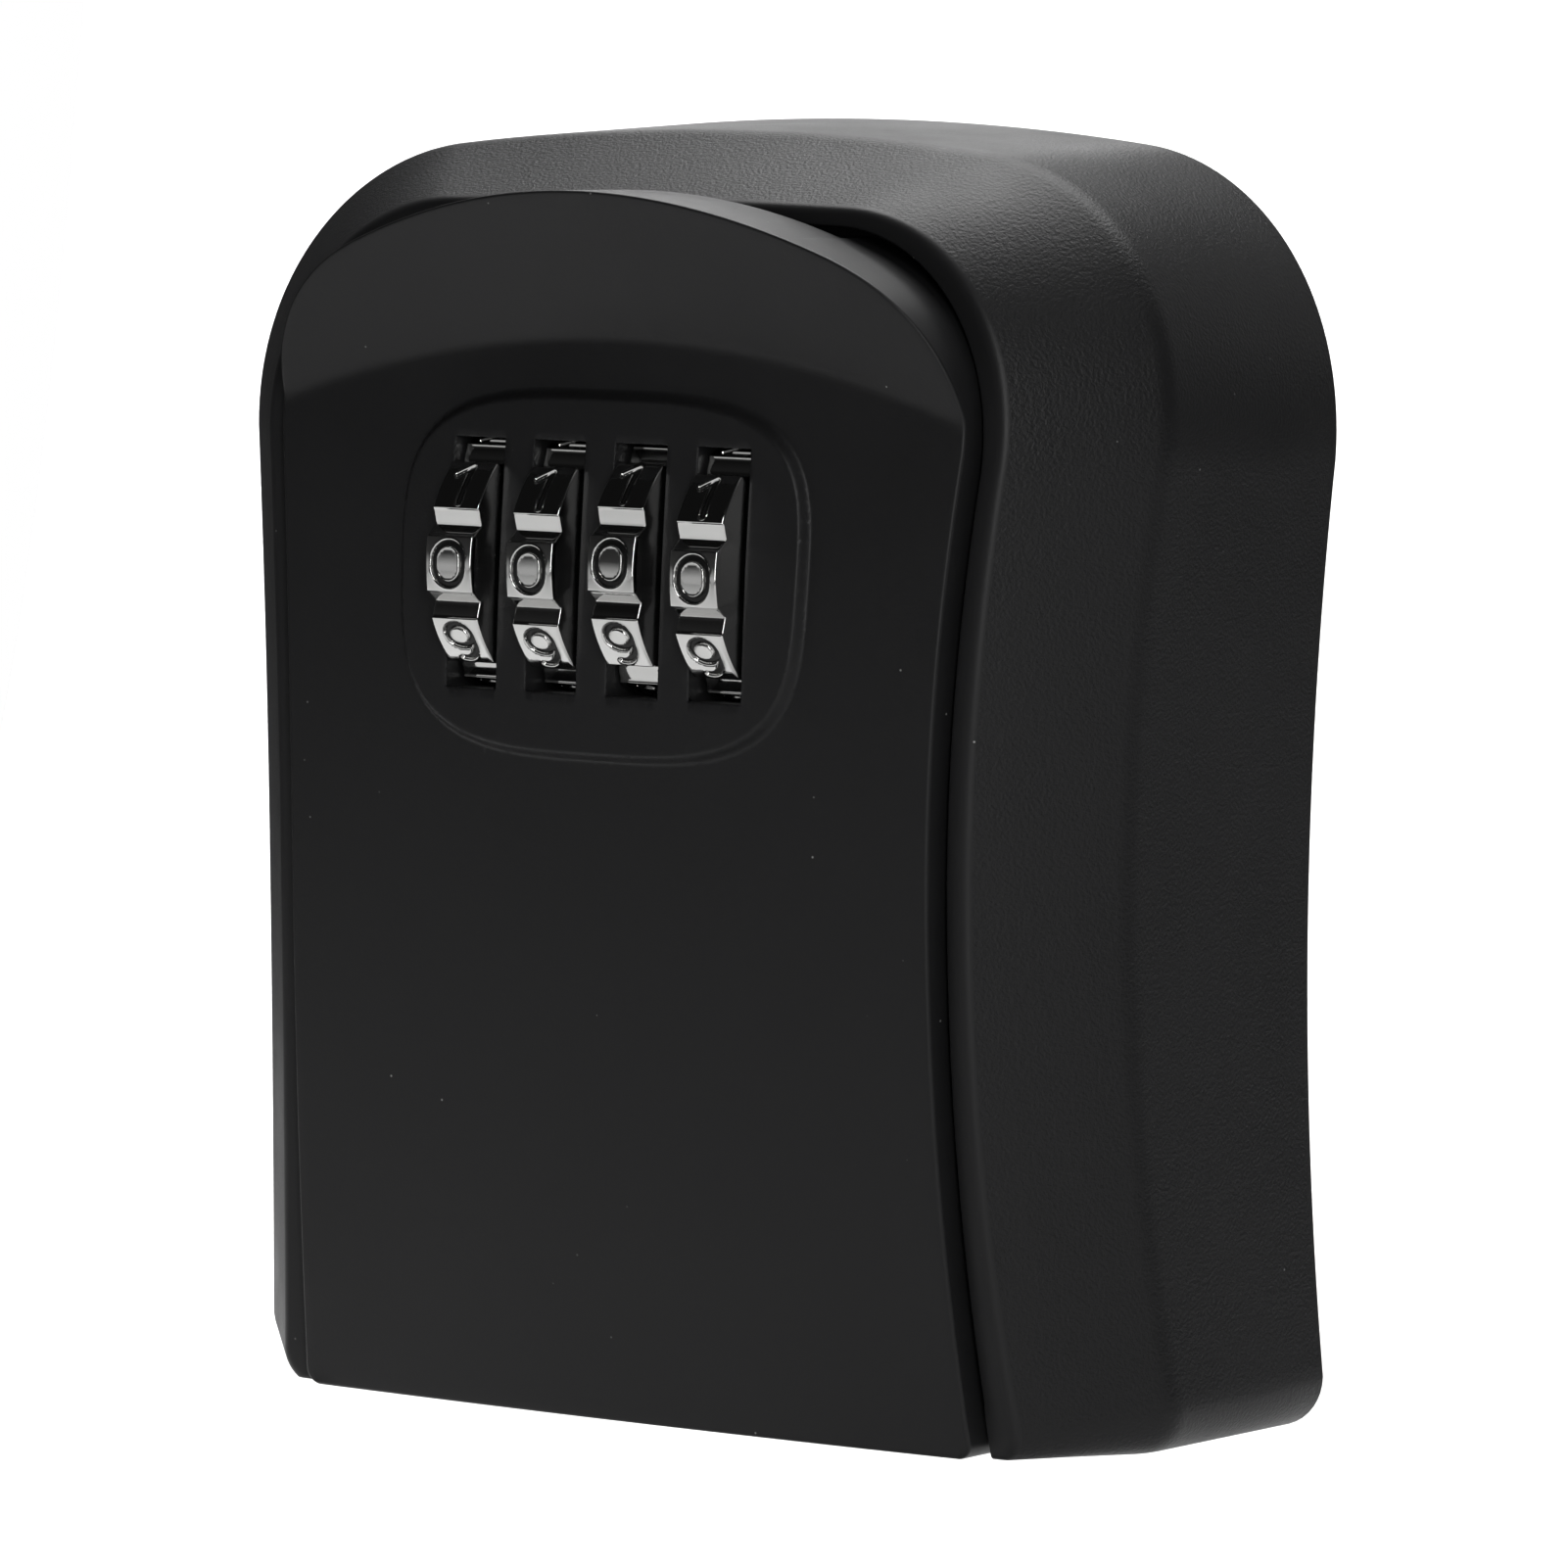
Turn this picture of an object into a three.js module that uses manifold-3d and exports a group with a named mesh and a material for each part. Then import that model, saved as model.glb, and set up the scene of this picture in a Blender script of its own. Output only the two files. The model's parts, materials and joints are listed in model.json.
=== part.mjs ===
// Key lock box for a wall: a moulded housing with a bottom-hinged door, opened by a four-dial code.
// Millimetres. X to the right, -Y out of the front, +Z up. The origin is the middle of the wall face.

import * as THREE from 'three';
import { mergeVertices } from 'three/addons/utils/BufferGeometryUtils.js';
import Module from 'manifold-3d';

const wasm = await Module();
wasm.setup();

// ---- driving dimensions -----------------------------------------------------------------------

const GAP = 0.3; // clearance kept between separate pieces
const BOTTOM = -60; // underside of housing and door
const WAIST_Z = -10; // height where every outline is narrowest
const WALL = 2.6; // housing wall
const SKIN = 2.4; // door front skin
const SKIRT = 2.2; // door side walls

// front profile seen from the side: a shallow arc, deepest just above mid-height
const FRONT_Y = -43.6; // door front at its edge, at its deepest
const BULGE_Z = 4;
const BULGE = 0.0015; // mm of depth per square mm of height
const CROWN = 1.0; // extra depth along the middle of the door
const CROWN_HALF = 37;
const CREASE_SETBACK = 13.7; // crease between side wall and chamfer, behind the door's edge
const RIM_SETBACK = 1.9; // crest of the housing's rim, behind the door's edge

// finger lip: the top of the door leans forward above an arched crease
const LIP_CREASE_Z = 40.9;
const LIP_CREASE_R = 110;
const LIP_SLOPE_EDGE = 0.42;
const LIP_SLOPE_MIDDLE = 0.56;
const LIP_LEDGE_Z = 50.6; // underside of the lip where it laps over the rim
const LIP_LEDGE_Y = -39.3;

// dial pad and slots
const DIAL_Z = 19.8;
const DIAL_Y = -36.8; // axis of the dials
const DIAL_PITCH = 9.13;
const DIAL_R = 12.5;
const DIAL_WIDTH = 5.2;
const NOTCH_R = 11.1;
const SLOT_WIDTH = 5.7;
const SLOT_HEIGHT = 23.2;
const PAD_RISE = 1.05;
const DIAL_COUNT = 4;
const DIAL_BORE = 7.2;
const SLEEVE_R = 6.9;
const SLEEVE_X = [-2.4, 1.8]; // hub of a sleeve, from the middle of its dial
const COLLAR_X = [-3.2, 3.9];
const COLLAR_R = 4.0;
const SHAFT_R = 1.8;
const SHAFT_HOLE = 2.1;

// hinge at the foot of the door
const HINGE_Y = -33;
const HINGE_Z = -56.5;
const PIN_R = 1.25;

// lock case on the back of the door
const CASE_HALF = 26.8;
const CASE_TOP = 36.2;
const CASE_FOOT = 4.6;
const CASE_FRONT = -39.7;
const CASE_BACK = -20.3;
const CASE_WALL = 1.8;
const CASE_EAR_X = 31;
const CASE_EAR_Z = [9, 31];

// latch
const LATCH_Y = [-23.7, -22.4];
const LATCH_TOP = 49.3; // tongue withdrawn
const LATCH_HALF = 7;
const FENCE_X = [3.5, 4.3]; // fingers that face the sleeves' gates, from the middle of each dial
const FENCE_REACH = 5.4; // their tips, from the axis of the dials
const STRIKE_Z = [50.2, 51.5];
const STRIKE_SCREW_X = 14;
const STRIKE_SCREW_Y = -18.5;

// slide on the back of the lock case that frees the dials from their sleeves to set a new code
const RESET_X = [-4.5, -1.5];
const RESET_TRAVEL = 5;
const RESET_SLOT_Z = [8, 10.4];

// ledge round the inside of the housing that the closed door's skirts stop short of
const STOP_SETBACK = [7.4, 9.4];
const STOP_FOOT = -50; // the ledge ends above the hinge

// back plate
const PLATE_THICK = 2.5;
const WALL_HOLE_R = 2.6;
const WALL_HOLES = [[-24, 36], [24, 36], [-24, -40], [24, -40]];
const PLATE_SCREW_Z = [-49, 29];

// ---- solids -----------------------------------------------------------------------------------

function toSolid(geometry) {
  const bare = geometry.clone();
  bare.deleteAttribute('normal');
  bare.deleteAttribute('uv');
  const merged = mergeVertices(bare, 1e-5);
  return new wasm.Manifold(new wasm.Mesh({
    numProp: 3,
    vertProperties: new Float32Array(merged.attributes.position.array),
    triVerts: new Uint32Array(merged.index.array),
  }));
}

function toGeometry(solid) {
  const mesh = solid.getMesh();
  const geometry = new THREE.BufferGeometry();
  geometry.setAttribute('position', new THREE.BufferAttribute(new Float32Array(mesh.vertProperties), 3));
  geometry.setIndex(new THREE.BufferAttribute(new Uint32Array(mesh.triVerts), 1));
  geometry.computeVertexNormals();
  return geometry;
}

// A closed geometry from points and triangles, wound so that its faces point out.
function closedGeometry(points, triangles) {
  let volume = 0;
  for (const [a, b, c] of triangles) {
    const [p, q, r] = [points[a], points[b], points[c]];
    volume += p[0] * (q[1] * r[2] - q[2] * r[1]) - p[1] * (q[0] * r[2] - q[2] * r[0])
      + p[2] * (q[0] * r[1] - q[1] * r[0]);
  }
  const geometry = new THREE.BufferGeometry();
  geometry.setAttribute('position', new THREE.Float32BufferAttribute(points.flat(), 3));
  geometry.setIndex((volume > 0 ? triangles : triangles.map(([a, b, c]) => [a, c, b])).flat());
  return geometry;
}

// A loft through rings of points. Each ring runs from its bottom centre round the right side to its
// top centre and back down the left side, so its caps are strips between mirrored points.
function loft(rings) {
  const count = rings[0].length;
  const points = rings.flat();
  const triangles = [];
  rings.slice(1).forEach((ring, level) => {
    for (let i = 0; i < count; i += 1) {
      const a = level * count + i;
      const b = level * count + ((i + 1) % count);
      triangles.push([a, b, b + count], [a, b + count, a + count]);
    }
  });
  const cap = (start, flip) => {
    for (let i = 0; i < count / 2; i += 1) {
      const [a, b] = [start + i, start + i + 1];
      const [c, d] = [start + ((count - i - 1) % count), start + ((count - i) % count)];
      const faces = [[a, c, b], [a, d, c]].filter(([p, q, r]) => p !== q && q !== r && p !== r);
      triangles.push(...faces.map(([p, q, r]) => (flip ? [p, r, q] : [p, q, r])));
    }
  };
  cap(0, false);
  cap((rings.length - 1) * count, true);
  return toSolid(closedGeometry(points, triangles));
}

function box(x, y, z) {
  const geometry = new THREE.BoxGeometry(x[1] - x[0], y[1] - y[0], z[1] - z[0]);
  geometry.translate((x[0] + x[1]) / 2, (y[0] + y[1]) / 2, (z[0] + z[1]) / 2);
  return toSolid(geometry);
}

// A round bar along an axis, from one coordinate to another; the two radii may differ.
function bar(axis, centre, from, to, radius, endRadius = radius, segments = 16) {
  const geometry = new THREE.CylinderGeometry(endRadius, radius, to - from, segments);
  geometry.translate(0, (from + to) / 2, 0);
  if (axis === 'x') {
    geometry.rotateZ(-Math.PI / 2);
    geometry.translate(0, centre[0], centre[1]);
  } else if (axis === 'z') {
    geometry.rotateX(Math.PI / 2);
    geometry.translate(centre[0], centre[1], 0);
  } else {
    geometry.translate(centre[0], 0, centre[1]);
  }
  return toSolid(geometry);
}

function join(first, ...others) {
  return others.reduce((sum, other) => sum.add(other), first);
}

function cut(first, ...others) {
  return others.reduce((rest, other) => rest.subtract(other), first);
}

// ---- outlines ---------------------------------------------------------------------------------

const OUTLINES = {
  back: { waist: 50.05, up: 0.0012, down: 0.0013, top: 61.1, arch: 260, shoulder: [31, 30.5], corner: 5 },
  crease: { waist: 48.95, up: 0.0015, down: 0.0013, top: 60, arch: 260, shoulder: [30.5, 31], corner: 4.5 },
  rim: { waist: 37.95, up: 0.0015, down: 0.0013, top: 53, arch: 900, shoulder: [22, 31], corner: 2.6 },
  doorway: { waist: 36.85, up: 0.0015, down: 0.0009, top: 51.9, arch: 900, shoulder: [21.3, 30], corner: 2.6 },
  stop: { waist: 34.35, up: 0.0014, down: 0.0008, top: 50.5, arch: 900, shoulder: [20.5, 29.5], corner: 3 },
  door: { waist: 35.85, up: 0.0014, down: 0.0008, top: 54.5, arch: 66, shoulder: [26, 31.5], corner: 1.5 },
};

function sideX(outline, z) {
  const rise = z - WAIST_Z;
  return outline.waist + (rise > 0 ? outline.up : outline.down) * rise * rise;
}

// Half of an outline as [x, z] points, bottom centre to top centre. An inset moves it inwards.
function halfOutline(outline, inset = 0, bottom = BOTTOM) {
  const [shoulderX, shoulderZ] = outline.shoulder;
  const corner = outline.corner;
  const cornerX = sideX(outline, bottom + corner);
  const points = [[0, bottom], [cornerX * 0.5, bottom]];
  for (let i = 0; i <= 4; i += 1) {
    const angle = (i / 4 - 1) * Math.PI / 2;
    points.push([cornerX - corner + corner * Math.cos(angle), bottom + corner + corner * Math.sin(angle)]);
  }
  for (let i = 1; i <= 7; i += 1) {
    const z = bottom + corner + (shoulderZ - bottom - corner) * i / 7;
    points.push([sideX(outline, z), z]);
  }
  const start = new THREE.Vector2(sideX(outline, shoulderZ), shoulderZ);
  const end = new THREE.Vector2(shoulderX, outline.top - shoulderX ** 2 / (2 * outline.arch));
  const reach = 0.56 * (end.y - start.y);
  const across = 0.56 * (start.x - end.x);
  const lean = 2 * outline.up * (shoulderZ - WAIST_Z);
  const shoulder = new THREE.CubicBezierCurve(
    start,
    new THREE.Vector2(start.x + lean * reach * 0.6, start.y + reach),
    new THREE.Vector2(end.x + across, end.y - across * shoulderX / outline.arch),
    end,
  );
  shoulder.getPoints(8).slice(1).forEach((p) => points.push([p.x, p.y]));
  for (let i = 1; i <= 5; i += 1) {
    const x = shoulderX * (1 - i / 5);
    points.push([x, outline.top - x * x / (2 * outline.arch)]);
  }
  return inset === 0 ? points : offsetHalf(points, inset);
}

// Moves a half outline along its inward normals; its two ends stay on the centre line.
function offsetHalf(points, inset) {
  const last = points.length - 1;
  return points.map(([x, z], i) => {
    const before = points[Math.max(i - 1, 0)];
    const after = points[Math.min(i + 1, last)];
    const along = new THREE.Vector2(after[0] - before[0], after[1] - before[1]).normalize();
    if (i === 0) along.set(1, 0);
    if (i === last) along.set(-1, 0);
    return [x - along.y * inset, z + along.x * inset];
  });
}

// The full ring of [x, y, z] points of a half outline, with its depth given by a function.
function ring(half, depth) {
  const right = half.map(([x, z]) => [x, depth(x, z), z]);
  const left = half.slice(1, -1).reverse().map(([x, z]) => [-x, depth(-x, z), z]);
  return [...right, ...left];
}

const flat = (y) => () => y;
const edgeY = (z) => FRONT_Y + BULGE * (z - BULGE_Z) ** 2;
const setBack = (distance) => (x, z) => edgeY(z) + distance;

function frontY(x, z) {
  return edgeY(z) - CROWN * (1 - (x / CROWN_HALF) ** 2);
}

function lipY(x, z) {
  const creaseZ = LIP_CREASE_Z - x * x / (2 * LIP_CREASE_R);
  const share = 1 - (x / CROWN_HALF) ** 2;
  const slope = LIP_SLOPE_EDGE + (LIP_SLOPE_MIDDLE - LIP_SLOPE_EDGE) * share;
  return frontY(x, creaseZ) - slope * (z - creaseZ);
}

// Everything behind the door's front surface, moved back by a depth; its grid follows the crease.
function behindFront(depth) {
  const columns = 16;
  const below = 10;
  const above = 4;
  const half = 42;
  const low = BOTTOM - 4;
  const high = 60;
  const rows = below + above + 1;
  const points = [];
  for (let i = 0; i <= columns; i += 1) {
    const x = -half + 2 * half * i / columns;
    const creaseZ = LIP_CREASE_Z - x * x / (2 * LIP_CREASE_R);
    for (let j = 0; j < rows; j += 1) {
      const onLip = j > below;
      const z = onLip ? creaseZ + (high - creaseZ) * (j - below) / above : low + (creaseZ - low) * j / below;
      points.push([x, (onLip ? lipY(x, z) : frontY(x, z)) + depth, z]);
    }
  }
  const count = points.length;
  points.push(...points.map(([x, , z]) => [x, 10, z]));
  const triangles = [];
  const at = (i, j) => i * rows + j;
  for (let i = 0; i < columns; i += 1) {
    for (let j = 0; j < rows - 1; j += 1) {
      const [a, b, c, d] = [at(i, j), at(i + 1, j), at(i + 1, j + 1), at(i, j + 1)];
      triangles.push([a, b, c], [a, c, d]);
      triangles.push([a + count, c + count, b + count], [a + count, d + count, c + count]);
    }
  }
  const loop = [];
  for (let i = 0; i < columns; i += 1) loop.push(at(i, 0));
  for (let j = 0; j < rows - 1; j += 1) loop.push(at(columns, j));
  for (let i = columns; i > 0; i -= 1) loop.push(at(i, rows - 1));
  for (let j = rows - 1; j > 0; j -= 1) loop.push(at(0, j));
  loop.forEach((a, k) => {
    const b = loop[(k + 1) % loop.length];
    triangles.push([a, a + count, b + count], [a, b + count, b]);
  });
  return toSolid(closedGeometry(points, triangles));
}

// ---- housing ----------------------------------------------------------------------------------

const plateScrews = PLATE_SCREW_Z.flatMap((z) => {
  const x = sideX(OUTLINES.back, z) - WALL - 2.9;
  return [[-x, z], [x, z]];
});

function housingShell() {
  // every section keeps the flat underside
  const section = (name, inset, depth) => (
    ring(halfOutline(OUTLINES[name], inset, BOTTOM - inset), depth)
  );
  const outer = loft([
    section('back', 0, flat(0)),
    section('crease', -0.25, setBack(CREASE_SETBACK + 1.2)),
    section('crease', 0.15, setBack(CREASE_SETBACK)),
    section('crease', 1.0, setBack(CREASE_SETBACK - 1.1)),
    section('rim', -1.3, setBack(RIM_SETBACK + 1.3)),
    section('rim', -0.5, setBack(RIM_SETBACK + 0.2)),
    section('rim', 0.1, setBack(RIM_SETBACK)),
    section('doorway', 0, setBack(RIM_SETBACK + 0.8)),
  ]);
  const hollow = loft([
    ring(halfOutline(OUTLINES.back, WALL), flat(1)),
    ring(halfOutline(OUTLINES.crease, WALL + 0.4, BOTTOM - 0.4), setBack(CREASE_SETBACK + 1.5)),
    ring(halfOutline(OUTLINES.doorway, 0, BOTTOM + WALL), setBack(RIM_SETBACK + 3.4)),
  ]);
  const doorway = loft([
    ring(halfOutline(OUTLINES.doorway, 0, BOTTOM + WALL), setBack(RIM_SETBACK + 12)),
    ring(halfOutline(OUTLINES.doorway, 0, BOTTOM + WALL), flat(-60)),
  ]);
  // the door's foot fills the front of the floor, so the floor stops behind its swing
  const footNotch = loft([
    ring(halfOutline(OUTLINES.doorway, 0, BOTTOM - 4), flat(HINGE_Y + 6.8)),
    ring(halfOutline(OUTLINES.doorway, 0, BOTTOM - 4), flat(-60)),
  ]).intersect(box([-50, 50], [-60, 0], [BOTTOM - 4, BOTTOM + 8]));
  const stop = cut(
    loft(STOP_SETBACK.map((depth) => ring(halfOutline(OUTLINES.doorway, -4.6), setBack(depth)))),
    loft([-60, 0].map((y) => ring(halfOutline(OUTLINES.stop), flat(y)))),
  ).intersect(box([-50, 50], [-60, 0], [STOP_FOOT, 60])).intersect(outer);
  const bosses = plateScrews.map(([x, z]) => bar('y', [x, z], -14, -PLATE_THICK - GAP, 3.6));
  const posts = [-1, 1].map((side) => (
    bar('z', [side * STRIKE_SCREW_X, STRIKE_SCREW_Y], STRIKE_Z[1] + GAP, 59.6, 3.2)
  ));
  const screwHoles = [
    ...plateScrews.map(([x, z]) => bar('y', [x, z], -12.5, 1, 1.5)),
    ...[-1, 1].map((side) => bar('z', [side * STRIKE_SCREW_X, STRIKE_SCREW_Y], 45, 57, 1.5)),
  ];
  const pinHoles = [-1, 1].map((side) => {
    const [from, to] = [side * 30, side * 41.6].sort((a, b) => a - b);
    return bar('x', [HINGE_Y, HINGE_Z], from, to, PIN_R + GAP);
  });
  const open = cut(outer, hollow, doorway, footNotch);
  return cut(join(open, stop, ...bosses, ...posts), ...screwHoles, ...pinHoles);
}

function backPlate() {
  const inset = WALL + GAP + 0.1;
  const plate = loft([
    ring(halfOutline(OUTLINES.back, inset), flat(0)),
    ring(halfOutline(OUTLINES.back, inset), flat(-PLATE_THICK)),
  ]);
  const wallHoles = WALL_HOLES.flatMap(([x, z]) => [
    bar('y', [x, z], -5, 5, WALL_HOLE_R),
    bar('y', [x, z], -PLATE_THICK - 0.01, -1.2, 4.6, WALL_HOLE_R),
  ]);
  const screwHoles = plateScrews.flatMap(([x, z]) => [
    bar('y', [x, z], -5, 5, 1.6),
    bar('y', [x, z], -1.6, 0.01, 1.6, 3.1),
  ]);
  return cut(plate, ...wallHoles, ...screwHoles);
}

function plateScrew([x, z]) {
  return join(
    bar('y', [x, z], -1.2, -0.1, 1.4, 2.6),
    bar('y', [x, z], -11.5, -1.1, 1.15, 1.15, 12),
  );
}

// Open at the back: its front bar holds the tongue in, and its two arms take the screws.
function strikePlate() {
  const plate = box([-19, 19], [-27.5, -13.5], STRIKE_Z);
  const mouth = box([-LATCH_HALF - 0.8, LATCH_HALF + 0.8], [LATCH_Y[0] - 0.9, -13], [45, 55]);
  const holes = [-1, 1].map((side) => bar('z', [side * STRIKE_SCREW_X, STRIKE_SCREW_Y], 45, 55, 1.6));
  return cut(plate, mouth, ...holes);
}

function strikeScrew(side) {
  const at = [side * STRIKE_SCREW_X, STRIKE_SCREW_Y];
  return join(
    bar('z', at, STRIKE_Z[0] - 1.7, STRIKE_Z[0] - 0.1, 2.5),
    bar('z', at, STRIKE_Z[0] - 0.5, 56, 1.15, 1.15, 12),
  );
}

function hingePin(side) {
  const [from, to] = [side * 32.6, side * 41.2].sort((a, b) => a - b);
  return bar('x', [HINGE_Y, HINGE_Z], from, to, PIN_R);
}

// ---- door -------------------------------------------------------------------------------------

// Dial pad: a rounded square with arched sides, a little narrower at the foot.
const PAD = { width: 23.4, foot: 22.4, top: 36.2, bottom: 1.9, roundness: 3.4 };

function padRing(scaleX, scaleZ, lift) {
  const middle = (PAD.top + PAD.bottom) / 2;
  const halfHeight = (PAD.top - PAD.bottom) / 2;
  const steps = 16;
  const half = [];
  for (let i = 0; i <= steps; i += 1) {
    const angle = (i / steps - 0.5) * Math.PI;
    const [c, s] = [Math.cos(angle), Math.sin(angle)];
    const z = middle + halfHeight * scaleZ * Math.sign(s) * Math.abs(s) ** (2 / PAD.roundness);
    const share = (z - PAD.bottom) / (PAD.top - PAD.bottom);
    const width = PAD.foot + (PAD.width - PAD.foot) * share;
    half.push([width * scaleX * Math.max(c, 0) ** (2 / PAD.roundness), z]);
  }
  half[0][0] = 0;
  half[steps][0] = 0;
  return ring(half, (x, z) => frontY(x, z) - lift);
}

function dialX(index) {
  return (index - (DIAL_COUNT - 1) / 2) * DIAL_PITCH;
}

const dialIndexes = Array.from({ length: DIAL_COUNT }, (_, i) => i);

function doorShell() {
  const outline = halfOutline(OUTLINES.door);
  const front = behindFront(0);
  const block = loft([ring(outline, flat(-60)), ring(outline, setBack(7))]).intersect(front);
  const inner = halfOutline(OUTLINES.door, SKIRT);
  const hollow = loft([ring(inner, flat(-60)), ring(inner, flat(5))])
    .intersect(behindFront(SKIN))
    .intersect(box([-50, 50], [-60, 20], [BOTTOM + SKIRT, LIP_LEDGE_Z - SKIRT]));
  const ledge = box([-50, 50], [LIP_LEDGE_Y, 20], [LIP_LEDGE_Z, 70]);
  const pad = loft([
    padRing(1.046, 1.062, -1),
    padRing(0.952, 0.935, PAD_RISE),
    padRing(0.6, 0.6, PAD_RISE),
  ]);
  const slots = dialIndexes.map((i) => box(
    [dialX(i) - SLOT_WIDTH / 2, dialX(i) + SLOT_WIDTH / 2],
    [-60, -30],
    [DIAL_Z - SLOT_HEIGHT / 2, DIAL_Z + SLOT_HEIGHT / 2],
  ));
  const reliefs = dialIndexes.map((i) => bar(
    'x', [DIAL_Y, DIAL_Z], dialX(i) - SLOT_WIDTH / 2, dialX(i) + SLOT_WIDTH / 2, DIAL_R + 0.6, DIAL_R + 0.6, 30,
  ));
  const markEnd = dialX(DIAL_COUNT - 1) + SLOT_WIDTH / 2;
  const mark = box([markEnd - 1, markEnd + 2.7], [-60, -45.3], [DIAL_Z - 0.3, DIAL_Z + 0.3]);
  const caseBosses = CASE_EAR_Z.flatMap((z) => [-1, 1].map((side) => (
    bar('y', [side * CASE_EAR_X, z], frontY(CASE_EAR_X, z) + 0.8, -38.9, 2.9)
  )));
  const caseHoles = CASE_EAR_Z.flatMap((z) => [-1, 1].map((side) => (
    bar('y', [side * CASE_EAR_X, z], -41.2, -30, 1.4)
  )));
  const ears = [-1, 1].map((side) => {
    const [from, to] = [side * 33.2, side * 36.7].sort((a, b) => a - b);
    return join(
      bar('x', [HINGE_Y, HINGE_Z], from, to, 3.2),
      box([from, to], [-37.6, HINGE_Y], [HINGE_Z - 3.2, HINGE_Z + 3.2]),
    );
  });
  const earHoles = [-1, 1].map((side) => {
    const [from, to] = [side * 30, side * 40].sort((a, b) => a - b);
    return bar('x', [HINGE_Y, HINGE_Z], from, to, PIN_R + GAP);
  });
  const shell = cut(block, hollow, ledge);
  return cut(join(shell, pad, ...caseBosses, ...ears), ...slots, ...reliefs, mark, ...caseHoles, ...earHoles);
}

function lockCase() {
  const inside = CASE_HALF - CASE_WALL;
  const tub = cut(
    box([-CASE_HALF, CASE_HALF], [CASE_FRONT, CASE_BACK], [CASE_FOOT, CASE_TOP]),
    box([-inside, inside], [-60, CASE_BACK - CASE_WALL], [CASE_FOOT + CASE_WALL, CASE_TOP - CASE_WALL]),
  );
  const ears = CASE_EAR_Z.flatMap((z) => [-1, 1].map((side) => {
    const [from, to] = [side * (CASE_HALF - 0.6), side * (CASE_EAR_X + 2.8)].sort((a, b) => a - b);
    return box([from, to], [-38.6, -36.6], [z - 3, z + 3]);
  }));
  const earHoles = CASE_EAR_Z.flatMap((z) => [-1, 1].map((side) => (
    bar('y', [side * CASE_EAR_X, z], -45, -30, 1.5)
  )));
  const shaftHole = bar('x', [DIAL_Y, DIAL_Z], -40, 40, SHAFT_HOLE);
  const tongueSlot = box([-LATCH_HALF - 0.5, LATCH_HALF + 0.5], [-24.2, CASE_BACK - CASE_WALL], [30, 40]);
  const leverSlot = box([RESET_X[0] - 0.5, RESET_X[1] + RESET_TRAVEL + 0.5], [-25, -15], RESET_SLOT_Z);
  return cut(join(tub, ...ears), ...earHoles, shaftHole, tongueSlot, leverSlot);
}

function caseScrew(side, z) {
  const at = [side * CASE_EAR_X, z];
  return join(
    bar('y', at, -36.3, -34.7, 2.4),
    bar('y', at, -40.8, -36.2, 1.1, 1.1, 12),
  );
}

// ---- dials and lock works ---------------------------------------------------------------------

// Ten convex faces round the rim, one for each digit, with V notches between them.
function numberWheel(index) {
  const shape = new THREE.Shape();
  const faceAngles = [-12.2, -4.2, 4.2, 12.2];
  const corners = [];
  for (let digit = 0; digit < 10; digit += 1) {
    faceAngles.forEach((offset) => corners.push([DIAL_R, digit * 36 + offset]));
    corners.push([NOTCH_R, digit * 36 + 18]);
  }
  corners.forEach(([radius, degrees], i) => {
    const angle = THREE.MathUtils.degToRad(degrees);
    const [u, v] = [radius * Math.cos(angle), radius * Math.sin(angle)];
    if (i === 0) shape.moveTo(u, v);
    else shape.lineTo(u, v);
  });
  shape.closePath();
  const blank = new THREE.ExtrudeGeometry(shape, { depth: DIAL_WIDTH, bevelEnabled: false });
  blank.rotateY(Math.PI / 2);
  blank.rotateX(Math.PI / 2);
  blank.translate(dialX(index) - DIAL_WIDTH / 2, DIAL_Y, DIAL_Z);
  return cut(toSolid(blank), bar('x', [DIAL_Y, DIAL_Z], -40, 40, DIAL_BORE, DIAL_BORE, 24));
}

// Hub inside a number wheel. Its collar has the gate that lines up with the latch's fence finger.
function codeSleeve(index) {
  const x = dialX(index);
  const hub = bar('x', [DIAL_Y, DIAL_Z], x + SLEEVE_X[0], x + SLEEVE_X[1], SLEEVE_R, SLEEVE_R, 24);
  const collar = bar('x', [DIAL_Y, DIAL_Z], x + COLLAR_X[0], x + COLLAR_X[1], COLLAR_R);
  const gate = box([x + 2.8, x + 5], [DIAL_Y + 2.9, DIAL_Y + 6], [DIAL_Z - 1.4, DIAL_Z + 1.4]);
  return cut(join(hub, collar), bar('x', [DIAL_Y, DIAL_Z], -40, 40, SHAFT_HOLE), gate);
}

function washer(from, to, radius) {
  return cut(
    bar('x', [DIAL_Y, DIAL_Z], from, to, radius),
    bar('x', [DIAL_Y, DIAL_Z], -40, 40, SHAFT_HOLE),
  );
}

// One comb of spring steel: a leaf over each dial clicks it from digit to digit.
function detentSpring() {
  const [low, high] = [33.0, 33.4];
  const spine = box([-18, 18], [-31, -25.4], [low, high]);
  return join(spine, ...dialIndexes.map((i) => box([dialX(i) - 2, dialX(i) + 2], [-39.6, -30.9], [low, high])));
}

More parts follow.
